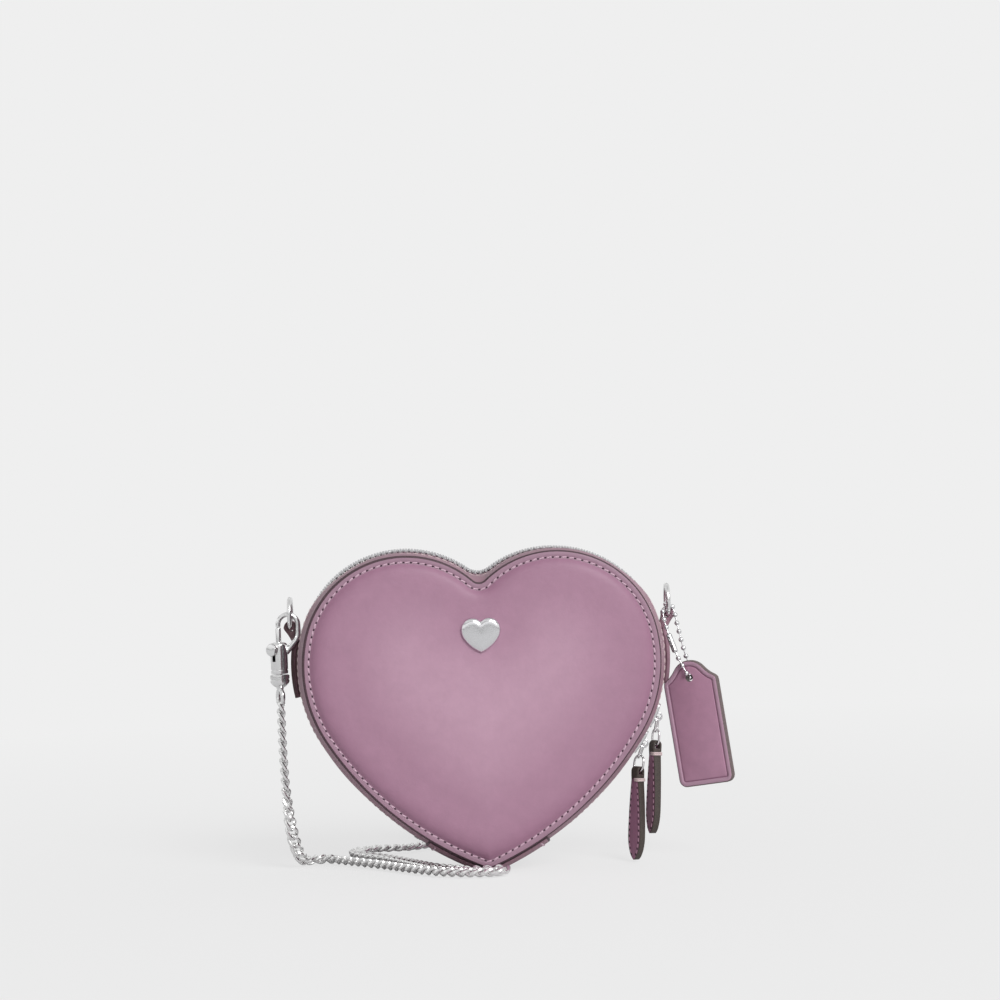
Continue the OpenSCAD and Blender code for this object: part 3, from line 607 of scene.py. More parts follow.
chain_d = 5.5
coil_c, coil_r, coil_step, coil_turn, coil_layer = vec(3, 125), 36.0, 6.2, 1485, 6.1
hanging = [(-93.8, 9.3, 77), (-93.8, 9.3, 71), (-93.7, 9.5, 60), (-93.4, 9.9, 49), (-92.9, 10.7, 38), (-92.2, 12, 28),
           (-91.2, 13.8, 19), (-89.8, 16.5, 11.5), (-88, 20.5, 5.8), (-85.6, 25.5, 3.1)]
lying = [(-81, 29.6), (-75, 28.8), (-69.5, 23.5), (-63, 16.5), (-56.5, 9.5), (-50, 2.5), (-43.5, -5.5), (-37, -13.5),
         (-29.5, -22), (-21, -29.5), (-11, -34.6), (-2, -36.4), (2, -36.4), (5.1, -35.1), (6.4, -32), (5.1, -28.9),
         (2, -27.6), (-5, -27.4), (-12, -25.8), (-19, -21), (-26, -13.5), (-32, -4), (-37.5, 6), (-43, 15.5),
         (-49, 24.5), (-55.5, 32.5), (-61, 40), (-63.2, 48), (-60.5, 55.8), (-53.5, 60), (-45.5, 60.3), (-38, 61.5),
         (-31.5, 66), (-27.5, 73), (-26.8, 82), (-28.6, 92), (-31, 101), (-32.6, 108), (-33, 114), (-33, 119.5)]
end_route = [(-14.2, 161.4, 7.8), (-13, 166, 6.6), (-12.6, 170.4, 5.3), (-11.2, 174, 4.6), (-8.6, 175.8, 4.5),
             (-6, 176, 4.5)]


def coil_point(u):
    """Point of the coil at u degrees along it. It winds in on the floor and out again on top of itself."""
    half = coil_turn / 2
    r = coil_r - coil_step * (half - abs(u - half)) / 360
    s = min(max((u - half + 90) / 180, 0), 1)
    return (coil_c[0] + r * cos(180 - u), coil_c[1] + r * sin(180 - u), chain_d / 2 + coil_layer * s * s * (3 - 2 * s))


coil_end = vec(*coil_point(coil_turn))
coil_way = vec(sin(coil_turn), cos(coil_turn), 0)
strap = np.vstack([
    spline([*hanging, *[(x, y, chain_d / 2) for x, y in lying]], 0.8),
    [coil_point(u) for u in np.arange(3, coil_turn + 1, 3)],
    spline([coil_end + chain_d * coil_way, coil_end + 1.6 * chain_d * coil_way, *end_route], 0.8)])

curb_pitch, curb_wire, curb_width, curb_slant, curb_twist = 4.6, 0.86, 6.2, 0.34, -45
lying_roll, hanging_roll = 92, 7


def curb_chain():
    """Twisted, slanted links along the strap, turned about it from lying_roll to hanging_roll as it rises."""
    place, along = spaced(strap, curb_pitch)
    across, out = frames(place)
    a = np.linspace(0, 360, 20, endpoint=False)
    long_r, wide_r = curb_pitch / 2 + curb_wire, curb_width / 2 - curb_wire
    x = np.array([math.copysign(abs(cos(k)) ** 0.8, cos(k)) for k in a])
    w = np.array([math.copysign(abs(sin(k)) ** 0.75, sin(k)) for k in a]) * wide_r
    roll = np.radians(curb_twist) * x
    ring = np.stack([x * long_r - w * curb_slant, w * np.cos(roll), w * np.sin(roll)], axis=-1)
    link = Shape().tube(ring, curb_wire, 8, closed=True)
    rolls = lying_roll + (hanging_roll - lying_roll) * np.clip((place[:, 2] - 5) / 34, 0, 1)
    chain = Shape().copies(link, [axes(p, t, u, v) @ turned("X", a)
                                  for p, t, u, v, a in zip(place, along, across, out, rolls)])
    return chain.make("curb_chain_strap", None, "chain", "chain_metal", ["chain", "chain_coil", "chain_end"],
                      weld=False)


strap_obj = curb_chain()


# Case: panels, gusset, zip, linings

emblem_k = 18 / heart_w
emblem_at = vec(0, 108.5)
low_crown_reach, flat_reach = 17, 14


def panel(half, side):
    """Padded panel: a painted edge, a flat border that holds the seam and a soft crown, which is smooth round the
    emblem and, on the front, lower there."""
    edge = [(0.7, 19.45), (0.15, 19.55), (0, 19.9), (-0.08, 20.6), (-0.02, 21.3), (0.22, 21.8), (0.5, 22.02)]
    border = [(1.9, 22.12), (2.4, 22.1), (2.8, 21.98), (3.1, 21.9), (3.4, 21.96), (3.8, 22.15)]
    crown = [(4.2, 22.45), (4.7, 22.85), (5.4, 23.3), (6.3, 23.72), (7.4, 24.05), (9, 24.36), (11, 24.58),
             (13.5, 24.74), (16.5, 24.84), (20, 24.9)]
    middle_rise = 2.0
    rows = [in_depth(panel_outline(w), y) for w, y in edge]
    narrow, wide = panel_outline(0.6), panel_outline(1.7)
    # The painted edge is about 0.75 mm wide, wider towards -x on the front and +x on the back; that extra width is
    # painted shade of the gap between panel and gusset.
    paint = 0.75 + 0.45 * side * narrow[:, :1] / (heart_w / 2)
    share = np.clip((paint - 0.6) / 1.1, 0, 1)
    rows.append(in_depth(narrow * (1 - share) + wide * share, 22.1))
    rows += [in_depth(panel_outline(w), y) for w, y in border]
    seam = len(rows)
    rows += [in_depth(panel_outline(w), y) for w, y in crown]
    last = panel_outline(crown[-1][0])
    for t in np.linspace(0, 1, 15)[1:]:
        ring = last * (1 - t) + middle * t
        near_emblem = np.exp(-((ring - emblem_at) ** 2).sum(-1) / low_crown_reach ** 2) if side < 0 else 0
        rows.append(in_depth(ring, crown[-1][1] + middle_rise * (1 - (1 - t) ** 2) * (1 - near_emblem)))
    rows = np.array(rows)
    fade = np.clip((np.arange(len(rows)) - seam) / 5, 0, 1)[:, None]
    flat = np.exp(-((rows[..., 0] ** 2 + (rows[..., 2] - emblem_at[1]) ** 2) / flat_reach ** 2))
    rows[..., 1] += 0.07 * fade * wobble(rows) * (1 - flat)
    rows[..., 1] *= side
    kinds = np.zeros((len(rows) - 1, 1), int)
    kinds[:len(edge)] = 2
    kinds[len(edge):seam - 1] = 1
    shape = Shape().grid(rows, kinds, around=True)
    obj = shape.make(f"{half}_panel_leather", f"case_{half}", "panel flange paint", "panel_leather", crease=60)
    inset_map(obj)
    return obj


def inset_map(obj):
    """UV map that holds each point's distance from the panel's edge, 1 at inset_reach; the painted shade at the outline
    fades by it.
    """
    mesh = obj.data
    edge = panel_outline(0)
    inset = [np.linalg.norm(edge - (v.co.x / MM, v.co.z / MM), axis=1).min() / inset_reach for v in mesh.vertices]
    layer = mesh.uv_layers.new(name="inset")
    layer.data.foreach_set("uv", [k for loop in mesh.loops for k in (inset[loop.vertex_index], 0.5)])


def panel_seam(half, side):
    shape = stitches(Shape(), in_depth(panel_outline(3.1), side * 21.93), (0, side, 0), closed=True)
    shape.make(f"{half}_panel_stitches", f"case_{half}", "thread hole", "panel_leather", (), weld=False, crease=60)


front_panel = panel("front", -1)
back_panel = panel("back", 1)
panel_seam("front", -1)
panel_seam("back", 1)


def emblem():
    low_z = emblem_at[1] - 0.5 * heart_h * emblem_k
    profile = [(2, 24.6), (0, 24.75), (-0.5, 25.2), (0, 25.7), (1.5, 26.05), (4, 26.4), (8, 26.75), (13, 27.0),
               (20, 27.15)]
    rows = [in_depth(panel_outline(w, 0.4) * emblem_k + (0, low_z), -y) for w, y in profile]
    centre = vec(0, -27.25, low_z + middle[1] * emblem_k)
    rows += [rows[-1] * (1 - t) + centre * t for t in (0.25, 0.5, 0.75, 1)]
    Shape().grid(rows, around=True).make("heart_emblem_polished", "case_front", "emblem", "emblem_metal", crease=70)


emblem()


def at_top(p):
    """How far along the top a point is, 0 to 1, and how much of that lies on the right lobe."""
    top_z, top_fade, lobe_x, lobe_fade = 122, 16, 8, 30
    top = np.clip((p[..., 2] - top_z) / top_fade, 0, 1)
    return top, top * np.clip((p[..., 0] - lobe_x) / lobe_fade, 0, 1)


def puff(ring):
    """How far the leather stands out at its edge, less along the top."""
    top, right = at_top(ring)
    return (0.65 - 1.27 * top - 0.3 * right)[:, None]


def gusset(half, side):
    """Bent leather strip round the case, its edge folded in along the zip."""
    outer = [(19.48, 0.1), (19.1, 0), (18.4, 0), (17.4, 0), (16.2, 0), (15, 0), (13.6, 0), (12.2, 0.01), (11, 0.03),
             (10, 0.06), (9.2, 0.1), (8.7, 0.22), (8.3, 0.36), (7.9, 0.26), (7.3, 0.16), (6.7, 0.24), (6.25, 0.4),
             (6.02, 0.8)]
    inner = [(6.02, 1.25), (6.3, 1.42), (7.2, 1.48), (10, 1.5), (14, 1.5), (18.2, 1.5)]
    rows = []
    for k, (y, inward) in enumerate(outer + inner):
        ring = in_depth(skin(y, inward), y, patch_t + inward)
        away = outward(ring)
        if k < len(outer):
            ring = ring + away * puff(ring) * np.clip((13.6 - y) / 5, 0, 1)
        sway = min(1, (19.48 - y) / 4) * (0.30 if inward < 0.6 else 0.1) * wobble(ring * (1, side, 1) + 5)
        rows.append(ring + away * (sway * np.clip((ring[:, 2] - 14) / 12, 0, 1))[:, None])
    shape = Shape().grid(np.array(rows) * (1, side, 1), around=True)
    shape.make(f"{half}_gusset_leather", f"case_{half}", "gusset", "gusset_leather", crease=60)


def gusset_seam(half, side):
    """Row of stitches that holds the tape, hidden below by the base patch."""
    ring = in_depth(skin(8.3, 0.26), 8.3, patch_t)
    ring = ring + outward(ring) * puff(ring)
    shown = (ring[:, 2] > 20) | (abs(ring[:, 0]) > 60)
    shape = stitches(Shape(), ring[shown] * (1, side, 1), outward(ring)[shown] * (1, side, 1), r=0.34, holes=False)
    shape.make(f"{half}_gusset_stitches", f"case_{half}", "pale_thread", "gusset_leather", (), weld=False, crease=60)


def strip_of(sections, low_z):
    """Cross sections along an outline, from low_z on the right side over the top to low_z on the left."""
    rows = np.stack(sections, axis=1)
    keep = np.where(rows[:, :, 2].min(axis=1) > low_z)[0]
    return rows[keep[0]:keep[-1] + 1]


def zip_tape(half, side):
    corners = [(2.35, 2.1), (2.5, 1.75), (3.6, 1.7), (6, 1.55), (8.4, 1.6), (8.5, 1.9), (8.4, 2.2), (2.5, 2.4)]
    rows = strip_of([in_depth(skin(y, w), y * side, patch_t + w) for y, w in corners], 16)
    Shape().loft(rows).make(f"{half}_zip_tape_cloth", f"case_{half}", "tape", "zip_tape", crease=50)


def zip_teeth(half, side):
    """One cast tooth a pitch, clenched round the tape's edge; the other half's teeth sit between them."""
    pitch, first, r, r_flat = 2.6, 0.1, 1.08, 0.92
    line = in_depth(zip_line(teeth_mid), 0.0)
    place, along = spaced(strip_of([line], 20.5)[:, 0], pitch, margin=first + pitch / 2 if side > 0 else first)
    away = outward(line)[nearest(line, place)]
    top, right = at_top(place)
    raised = place + away * (0.7 * top - 1.1 * right)[:, None]
    sections = [(2.95, 0.45, 0.75), (2.75, 0.68, 1.05), (1.1, 0.7, 1.1), (0.75, 0.58, 1.08), (-0.1, 0.56, 1.0),
                (-0.5, 0.5, 0.8), (-0.68, 0.3, 0.5)]
    ring = np.clip([(r * cos(a), r * sin(a)) for a in np.arange(22.5, 360, 45)], -r_flat, r_flat)
    tooth = Shape().loft([[(x * w, y, z * h) for x, z in ring] for y, w, h in sections])
    shape = Shape().copies(tooth, [axes(p, t, (0, side, 0), n) for p, t, n in zip(raised, along, away)])
    shape.make(f"{half}_zip_teeth_cast", f"case_{half}", "zip", "zip_metal", weld=False, crease=30)


def end_stops(half, side):
    r = flank_r + teeth_mid + 0.15
    a = 36.45
    shape = Shape()
    for mirror in (1, -1):
        p = vec(mirror * (flank_c[0] + r * sin(a)), side * 1.4, flank_c[1] - sag - r * cos(a))
        path = p + np.outer([-1.75, -1.6, -1.1, 1.1, 1.6, 1.75], (mirror * cos(a), 0, sin(a)))
        sizes = (0.7, 0.92, 1, 1, 0.92, 0.7)
        shape.sweep(path, [rounded_box(2.2 * k, 2.8 * k, 0.5 * k) for k in sizes], (0, 1, 0))
    shape.make(f"{half}_end_stops_crimped", f"case_{half}", "zip", "zip_metal", crease=40)


def lining(half, side):
    """Cloth tray that lines a half, a little loose over its board."""
    tray = [(2.7, 9.6), (2.6, 11), (2.7, 13), (2.6, 15), (2.7, 16.6), (3.2, 17.5), (4.2, 17.8), (7, 17.85), (12, 17.8),
            (18, 17.75)]
    rings = [(skin(8.7, 2.45), 8.65), (skin(9, 2.75), 9.0), *[(panel_outline(w), y) for w, y in tray]]
    rows = [in_depth(ring, y, patch_t + 2.4) for ring, y in rings]
    rows += [in_depth(rings[-1][0] * (1 - t) + middle * t, 17.7) for t in np.linspace(0, 1, 13)[1:]]
    rows = np.array(rows)
    loose = np.clip((np.arange(len(rows)) - 6) / 5, 0, 1)[:, None]
    rows[..., 1] -= 0.35 * loose * (0.6 + wobble(rows * (1.6, 1, 1.6) + side))
    shape = Shape().grid(rows * (1, side, 1), around=True)
    shape.make(f"{half}_lining_cloth", f"case_{half}", "lining", "lining", crease=60)


for half, side in (("back", 1), ("front", -1)):
    for dress in (gusset, gusset_seam, zip_tape, zip_teeth, end_stops, lining):
        dress(half, side)


def slip_pocket():
    """Cloth pocket on the back lining, hemmed at its open top and sewn along three sides."""
    half_w, low, high = 40, 46, 90
    gx, gz = np.meshgrid(np.linspace(-half_w, half_w, 41), np.linspace(low, high, 25))
    fullness = np.cos(gx / half_w * math.pi / 2) * np.sqrt(np.clip((gz - low) / (high - low), 0, 1))
    y = 17.2 - 0.5 * fullness + 0.12 * wobble(np.stack([gx * 1.5, gz * 0, gz * 1.5], axis=-1))
    rows = np.stack([gx, y, gz], axis=-1)
    shape = Shape().grid(rows).sweep(rows[-1] + (0, -0.1, 0), rounded_box(0.9, 3.4, 0.4), (0, 1, 0))
    margin, sewn_y = 1.4, 16.95
    x, foot, head = half_w - margin, low + margin, high - 2
    sewn = [(-x, sewn_y, head), (-x, sewn_y, foot), (x, sewn_y, foot), (x, sewn_y, head)]
    for line in zip(sewn, sewn[1:]):
        stitches(shape, spline(line, 1), (0, -1, 0), 3.0, 2.0, 0.22, holes=False, kind=1)
    shape.make("slip_pocket_cloth", "case_back", "lining thread", "lining", crease=50)


slip_pocket()
for node, look in (("back_stiffener", "board"), ("front_stiffener", "board"), ("emblem_backplate", "silver")):
    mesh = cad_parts[node].data
    mesh.materials.clear()
    mesh.materials.append(M[look])


def patch_point(y, out, a):
    """Point of the base patch at depth y, at a from -1 to 1 along it: on the flank, or round the tip below it."""
    fr = flank_r + at_depth(y, bulge, -edge_in) + out
    tr = at_depth(y, zip_tip_r, panel_tip_r) + out
    tip_a, tip_cz = tip(fr, tr)
    s = 2 * abs(a)
    if s < 1:
        x, z = tr * sin(s * tip_a), tip_cz - tr * cos(s * tip_a)
    else:
        b = tip_a + (s - 1) * (patch_reach - tip_a)
        x, z = flank_c[0] + fr * sin(b), flank_c[1] - fr * cos(b)
    return math.copysign(x, a), y, max(z - at_depth(y, sag, 0), patch_t - out)


def base_patch():
    """Leather patch sewn round the tip on both halves."""
    under, sewn_at = 0.4, 0.93
    outer = [(-18.6, 1.25), (-18.2, 1.5), *[(y, 1.5) for y in np.linspace(-17, 17, 18)], (18.2, 1.5), (18.6, 1.25)]
    inner = [(18.8, 0.8), (18.4, 0.4), *[(y, 0.4) for y in np.linspace(17, -17, 10)], (-18.4, 0.4), (-18.8, 0.8)]
    rows = []
    for a in (-1, -0.995, *np.linspace(-0.985, 0.985, 75), 0.995, 1):
        thin = 0.55 if abs(a) == 1 else 0.9 if abs(a) > 0.99 else 1
        rows.append([patch_point(y, under + (out - under) * thin, a) for y, out in outer + inner])
    kinds = np.zeros((len(rows) - 1, len(outer + inner)), int)
    kinds[:2] = kinds[-2:] = 1
    kinds[:, len(outer) - 1:len(outer) + 1] = kinds[:, -2:] = 1
    shape = Shape().loft(rows, kinds, 1)
    for a in (-sewn_at, sewn_at):
        line, above = [vec(*[patch_point(y, out, a) for y in np.linspace(-16.5, 16.5, 34)]) for out in (1.52, 3)]
        stitches(shape, line, unit(above - line), kind=2, hole_kind=1)
    obj = shape.make("base_patch_leather", None, "patch paint thread", "gusset_leather",
                     ["base_patch", "base_patch_front"], crease=50, weld=False)
    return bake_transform(obj)


base_patch()


# Tabs and rings

ring_x, ring_y, ring_z, ring_mid_r, ring_wire_r = 88.2, 13.5, 120.0, 6.9, 1.1
loop_z = ring_z - ring_mid_r + 0.5


def ring_tab(half, mirror, edge):
    """Leather strip folded round the ring's wire, both ends sewn to the gusset."""
    c = side_c - (0, 0.4)
    outer_r, inner_r, loop_r, loop_y = 67.8, 65.9, 2.12, 13.9
    way = [c + outer_r * vec(sin(a), -cos(a)) for a in np.arange(78, 101, 3)]
    way += [(88.0, 110.0)]
    way += [(ring_x + loop_r * cos(a), loop_z + loop_r * sin(a)) for a in range(-12, 200, 15)]
    way += [(85.6, 110.2), (84.2, 107.4)]
    way += [c + inner_r * vec(sin(a), -cos(a)) for a in np.arange(100, 77, -3)]
    path = spline([(mirror * x, loop_y, z) for x, z in way], 0.9)
    near_loop = np.clip((path[:, 2] - 103) / 6, 0, 1)
    thick = 2.0 + 0.3 * np.exp(-((path[:, 2] - 109) / 2.2) ** 2)
    sections = [rounded_box(6.0, t, 0.4, 2) for t in thick]
    radial = unit(path * (1, 0, 1) - (mirror * c[0], 0, c[1]))
    side = unit(vec(0, 1, 0) - 0.46 * (1 - near_loop[:, None]) * radial)
    shape = Shape().sweep(path, sections, side, kind=end_faces(sections[0], 2.7))
    wedge = [(84.4, 107.2), (87.2, 108.6), (88.9, 110.9), (88.2, 111.9), (86.4, 111.7), (85.0, 110.6)]
    shape.loft([[(mirror * x, y, z) for x, z in wedge] for y in (11.1, 16.7)], cap=1)
    sewn = int(len(path) * 0.35)
    for k in (-2.0, 2.0):
        line = path[:sewn] + radial[:sewn] * 0.96 + k * side[:sewn]
        stitches(shape, line, radial[:sewn], 2.9, 2.0, 0.3, kind=2, hole_kind=3, margin=2)
    bar = path[np.argmin(np.abs(path[:int(len(path) * 0.45), 2] - 108.6))]
    t, face = unit((mirror * 0.62, 0, 0.78)), unit((mirror * 0.78, 0, -0.62))
    for k in (-0.45, 0.45):
        across = np.outer([-2.7, -2.3, 0, 2.3, 2.7], (0, 1, 0)) + np.outer([-0.5, 0.05, 0.1, 0.05, -0.5], face)
        shape.tube(bar + face * 0.85 + t * k * 1.1 + across, 0.36, 8, kind=2, rounded=True)
    shape.make(f"{half}_tab_leather", "case_back", f"tab {edge} pale_thread hole", "gusset_leather",
               f"{half}_ring_tab", crease=50, weld=False)


def tab_ring(half, mirror):
    path = [(mirror * ring_x, ring_y + ring_mid_r * cos(a), ring_z + ring_mid_r * sin(a))
            for a in np.linspace(0, 360, 96, endpoint=False)]
    shape = Shape().tube(path, ring_wire_r, 20, closed=True)
    shape.make(f"{half}_ring_wire", f"{half}_ring", "silver", "silver_metal")


# The tabs' cut edges take dark edge paint on the left; on the right they take the lighter gusset leather, a painted
# highlight where the lamp falls on them.
ring_tab("left", -1, "tab_paint")
ring_tab("right", 1, "gusset")
tab_ring("left", -1)
tab_ring("right", 1)


# Zip sliders, their links, jump rings and leather pulls

bail_h, bail_mid_r = 0.9, 1.78
link_wire_r, link_r, link_straight, link_down, link_play, link_twist = 0.6, 2.1, 2.6, 0.3, 0.9, 16
jump_wire_r, jump_r, jump_straight = 0.5, 3.0, 2.5
pull_l, pull_w, pull_loop_w, pull_loop_r, pull_lean = 43.0, 8.4, 4.4, 2.2, 4.5
pull_widest, pull_neck = 0.72, 1.6


def slider(prefix, c, r, a):
    """Slider on the zip line's arc of centre c and radius r, at angle a. Returns the middle of its bail."""
    gap, plate = 0.25, 1.0
    top = r + teeth_top + gap + plate
    per_mm = 180 / math.pi / top

    def on(mm, out):
        angle = a + mm * per_mm
        return vec(c[0] + out * sin(angle), 0, c[1] - out * cos(angle))

    def section(w, drop):
        left = [(-w + 0.8, -1.25), (-w + 0.8, -drop), (-w, -drop), (-w, -0.8), (-w + 0.15, -0.25), (-w + 0.7, 0)]
        return [left[-1], *[(-x, y) for x, y in left[::-1]], *left[:-1]]

    path = [on(s, top) for s in (5.9, 5.5, 4.6, 3, 1, -1, -3, -4.6, -5.5, -5.9)]
    widths = (3.3, 3.8, 4.1, 4.25, 4.25, 4.1, 3.7, 3.2, 2.7, 2.3)
    drops = (1.5, 2.1, 2.4, 2.4, 2.4, 2.4, 2.4, 2.4, 2.1, 1.5)
    shape = Shape().sweep(path, [section(w, d) for w, d in zip(widths, drops)], (0, 1, 0))
    inner = [on(s, r + teeth_low - 1.0) + (0, 1.9, 0) for s in (5.6, 5, 0, -5, -5.6)]
    shape.sweep(inner, rounded_box(3.8, 1.0, 0.3), (0, 1, 0))
    bail = on(0, top + bail_h)
    t, n = vec(cos(a), 0, sin(a)), vec(sin(a), 0, -cos(a))
    feet = [(2.7, 1.15), (2.2, 0.9)]
    arch = [bail + t * x - n * y for x, y in feet]
    arch += [bail + bail_mid_r * (cos(x) * t + sin(x) * n) for x in range(-20, 201, 20)]
    arch += [bail - t * x - n * y for x, y in feet[::-1]]
    shape.sweep(arch, rounded_box(1.75, 0.85, 0.25), (0, 1, 0))
    shape.make(f"{prefix}_slider_cast", f"{prefix}_slider", "zip", "zip_metal", crease=40)
    return bail


def oval(r, straight, rise=0.0):
    """Upright oval, its top at height rise and its lower half circle straight below the upper one."""
    upper = [(r * cos(a), 0, rise - r + r * sin(a)) for a in range(0, 181, 12)]
    lower = [(r * cos(a), 0, -r - straight + r * sin(a)) for a in range(180, 361, 12)]
    return vec(*upper, *lower)


def half_width(x):
    """Half the width of a leather pull, x of the way from its loop to its tip."""
    if x < pull_widest:
        return pull_loop_w / 2 + (pull_w / 2 - pull_loop_w / 2) * math.sin(x / pull_widest * math.pi / 2)
    return pull_w / 2 * (1 - ((x - pull_widest) / (1 - pull_widest)) ** 2) ** 0.6


def pull_leather():
    """Strip folded through the jump ring, its two layers sewn together; the loop is at the origin."""
    blade = pull_l - pull_loop_r - pull_neck
    rows = []
    rounding = pull_widest + (1 - pull_widest) * np.sin(np.radians(np.linspace(6, 89, 18)))
    for x in (*np.linspace(0, pull_widest, 30), *rounding):
        w = half_width(x)
        t = 1.95 - 0.25 * min(1, x * 2)
        b = min(0.55, w * 0.6)
        crown = 0.25 * min(1, w / 3)
        face = [(u * (w - b), t + crown * (1 - u * u)) for u in (-1, -0.6, 0, 0.6, 1)]
        edge = [(w - b * 0.3, t - 0.15), (w, t * 0.55), (w - 0.12, 0), (w, -t * 0.55), (w - b * 0.3, -t + 0.15)]
        rows.append([(k * u, k * v, -pull_neck - blade * x) for k in (1, -1) for u, v in face + edge])
    kinds = [0 if j % 10 < 4 else 1 for j in range(len(rows[0]))]
    shape = Shape().grid(rows, kinds, around=True).cap(rows[-1], 1).cap(rows[0], 0)
    loop = [(0, -1.5, -4.5), (0, -1.72, -2.2), *[(0, 1.75 * sin(a), 1.75 * cos(a)) for a in range(-90, 91, 12)],
            (0, 1.72, -2.2), (0, 1.5, -4.5)]
    band = rounded_box(pull_loop_w, 0.95, 0.25, 2)
    shape.sweep(loop, band, (1, 0, 0), kind=end_faces(band, 1.9))
    for face in (-1, 1):
        for z in (-3.6, -4.35):
            w = half_width((-z - pull_neck) / blade) + 0.15
            bar = [(-2.6, 1.5), (-2.4, 2.1), (-1.2, 2.2), (-0.15, 2.0), (0.1, 1.2), (0.1, 0)]
            shape.tube([(w + x, face * y, z) for x, y in bar], 0.42, 8, kind=2, rounded=True)
        for mirror in (-1, 1):
            line = [(mirror * max(half_width(x) - 1.15, 0.25), face * (1.93 - 0.1 * x), -pull_neck - blade * x)
                    for x in np.linspace(0.12, 0.9, 60)]
            stitches(shape, np.array(line), (0, face, 0), 2.7, 1.8, 0.26, kind=4, hole_kind=3)
    return shape


def pull(prefix, bail, lean, ring_lean, turn):
    """Link, jump ring and leather hung from the bail. The link leans to the left by lean. The ring leans by
    ring_lean the way the leather's face looks, which is turned from the front to the left by turn."""
    link_place = shift(*bail) @ turned("Z", 90 - link_twist) @ turned("X", lean) @ shift(0, 0, -link_down)
    shape = Shape().tube(moved(oval(link_r, link_straight), link_place), link_wire_r, 14, closed=True)
    shape.make(f"{prefix}_link_wire", f"{prefix}_link", "silver", "zip_metal")
    down = link_down + 2 * link_r + link_straight - link_wire_r - jump_wire_r - link_play
    top = bail + down * vec(-sin(lean) * cos(link_twist), sin(lean) * sin(link_twist), -cos(lean))
    ring_place = shift(*top) @ turned("Z", -turn) @ turned("X", -ring_lean)
    ring = moved(oval(jump_r, jump_straight, -link_play + 0.1), ring_place)
    shape = Shape().tube(ring, jump_wire_r, 14, closed=True)
    shape.make(f"{prefix}_jump_ring_wire", f"{prefix}_pull", "silver", "silver_metal")
    place = ring_place @ shift(0, 0, -(2 * jump_r + jump_straight - 0.35)) @ turned("X", ring_lean - pull_lean)
    looks = "pull pull_paint pale_thread hole pull_thread"
    pull_leather().move(place).make(f"{prefix}_pull_leather", f"{prefix}_pull", looks, "panel_leather", crease=50,
                                    weld=False)


upper_bail = slider("upper", side_c - (0, sag), side_r, 65.5)
lower_bail = slider("lower", flank_c - (0, sag), flank_r, 56.1)
pull("upper", upper_bail, 10, 6, 64)
pull("lower", lower_bail, 21, 13, 50)


# Snap hooks, upright, the barrel's lower end at the origin and the bow towards +X

knob_turn, knob_z, knob_r, knurls = 235, 11.4, 2.87, 20
near_place = shift(-93.8, 9.3, 92.4)
far_place = shift(9.4, 176.0, 4.5) @ turned("X", 180) @ turned("Z", 90) @ turned("X", 90)


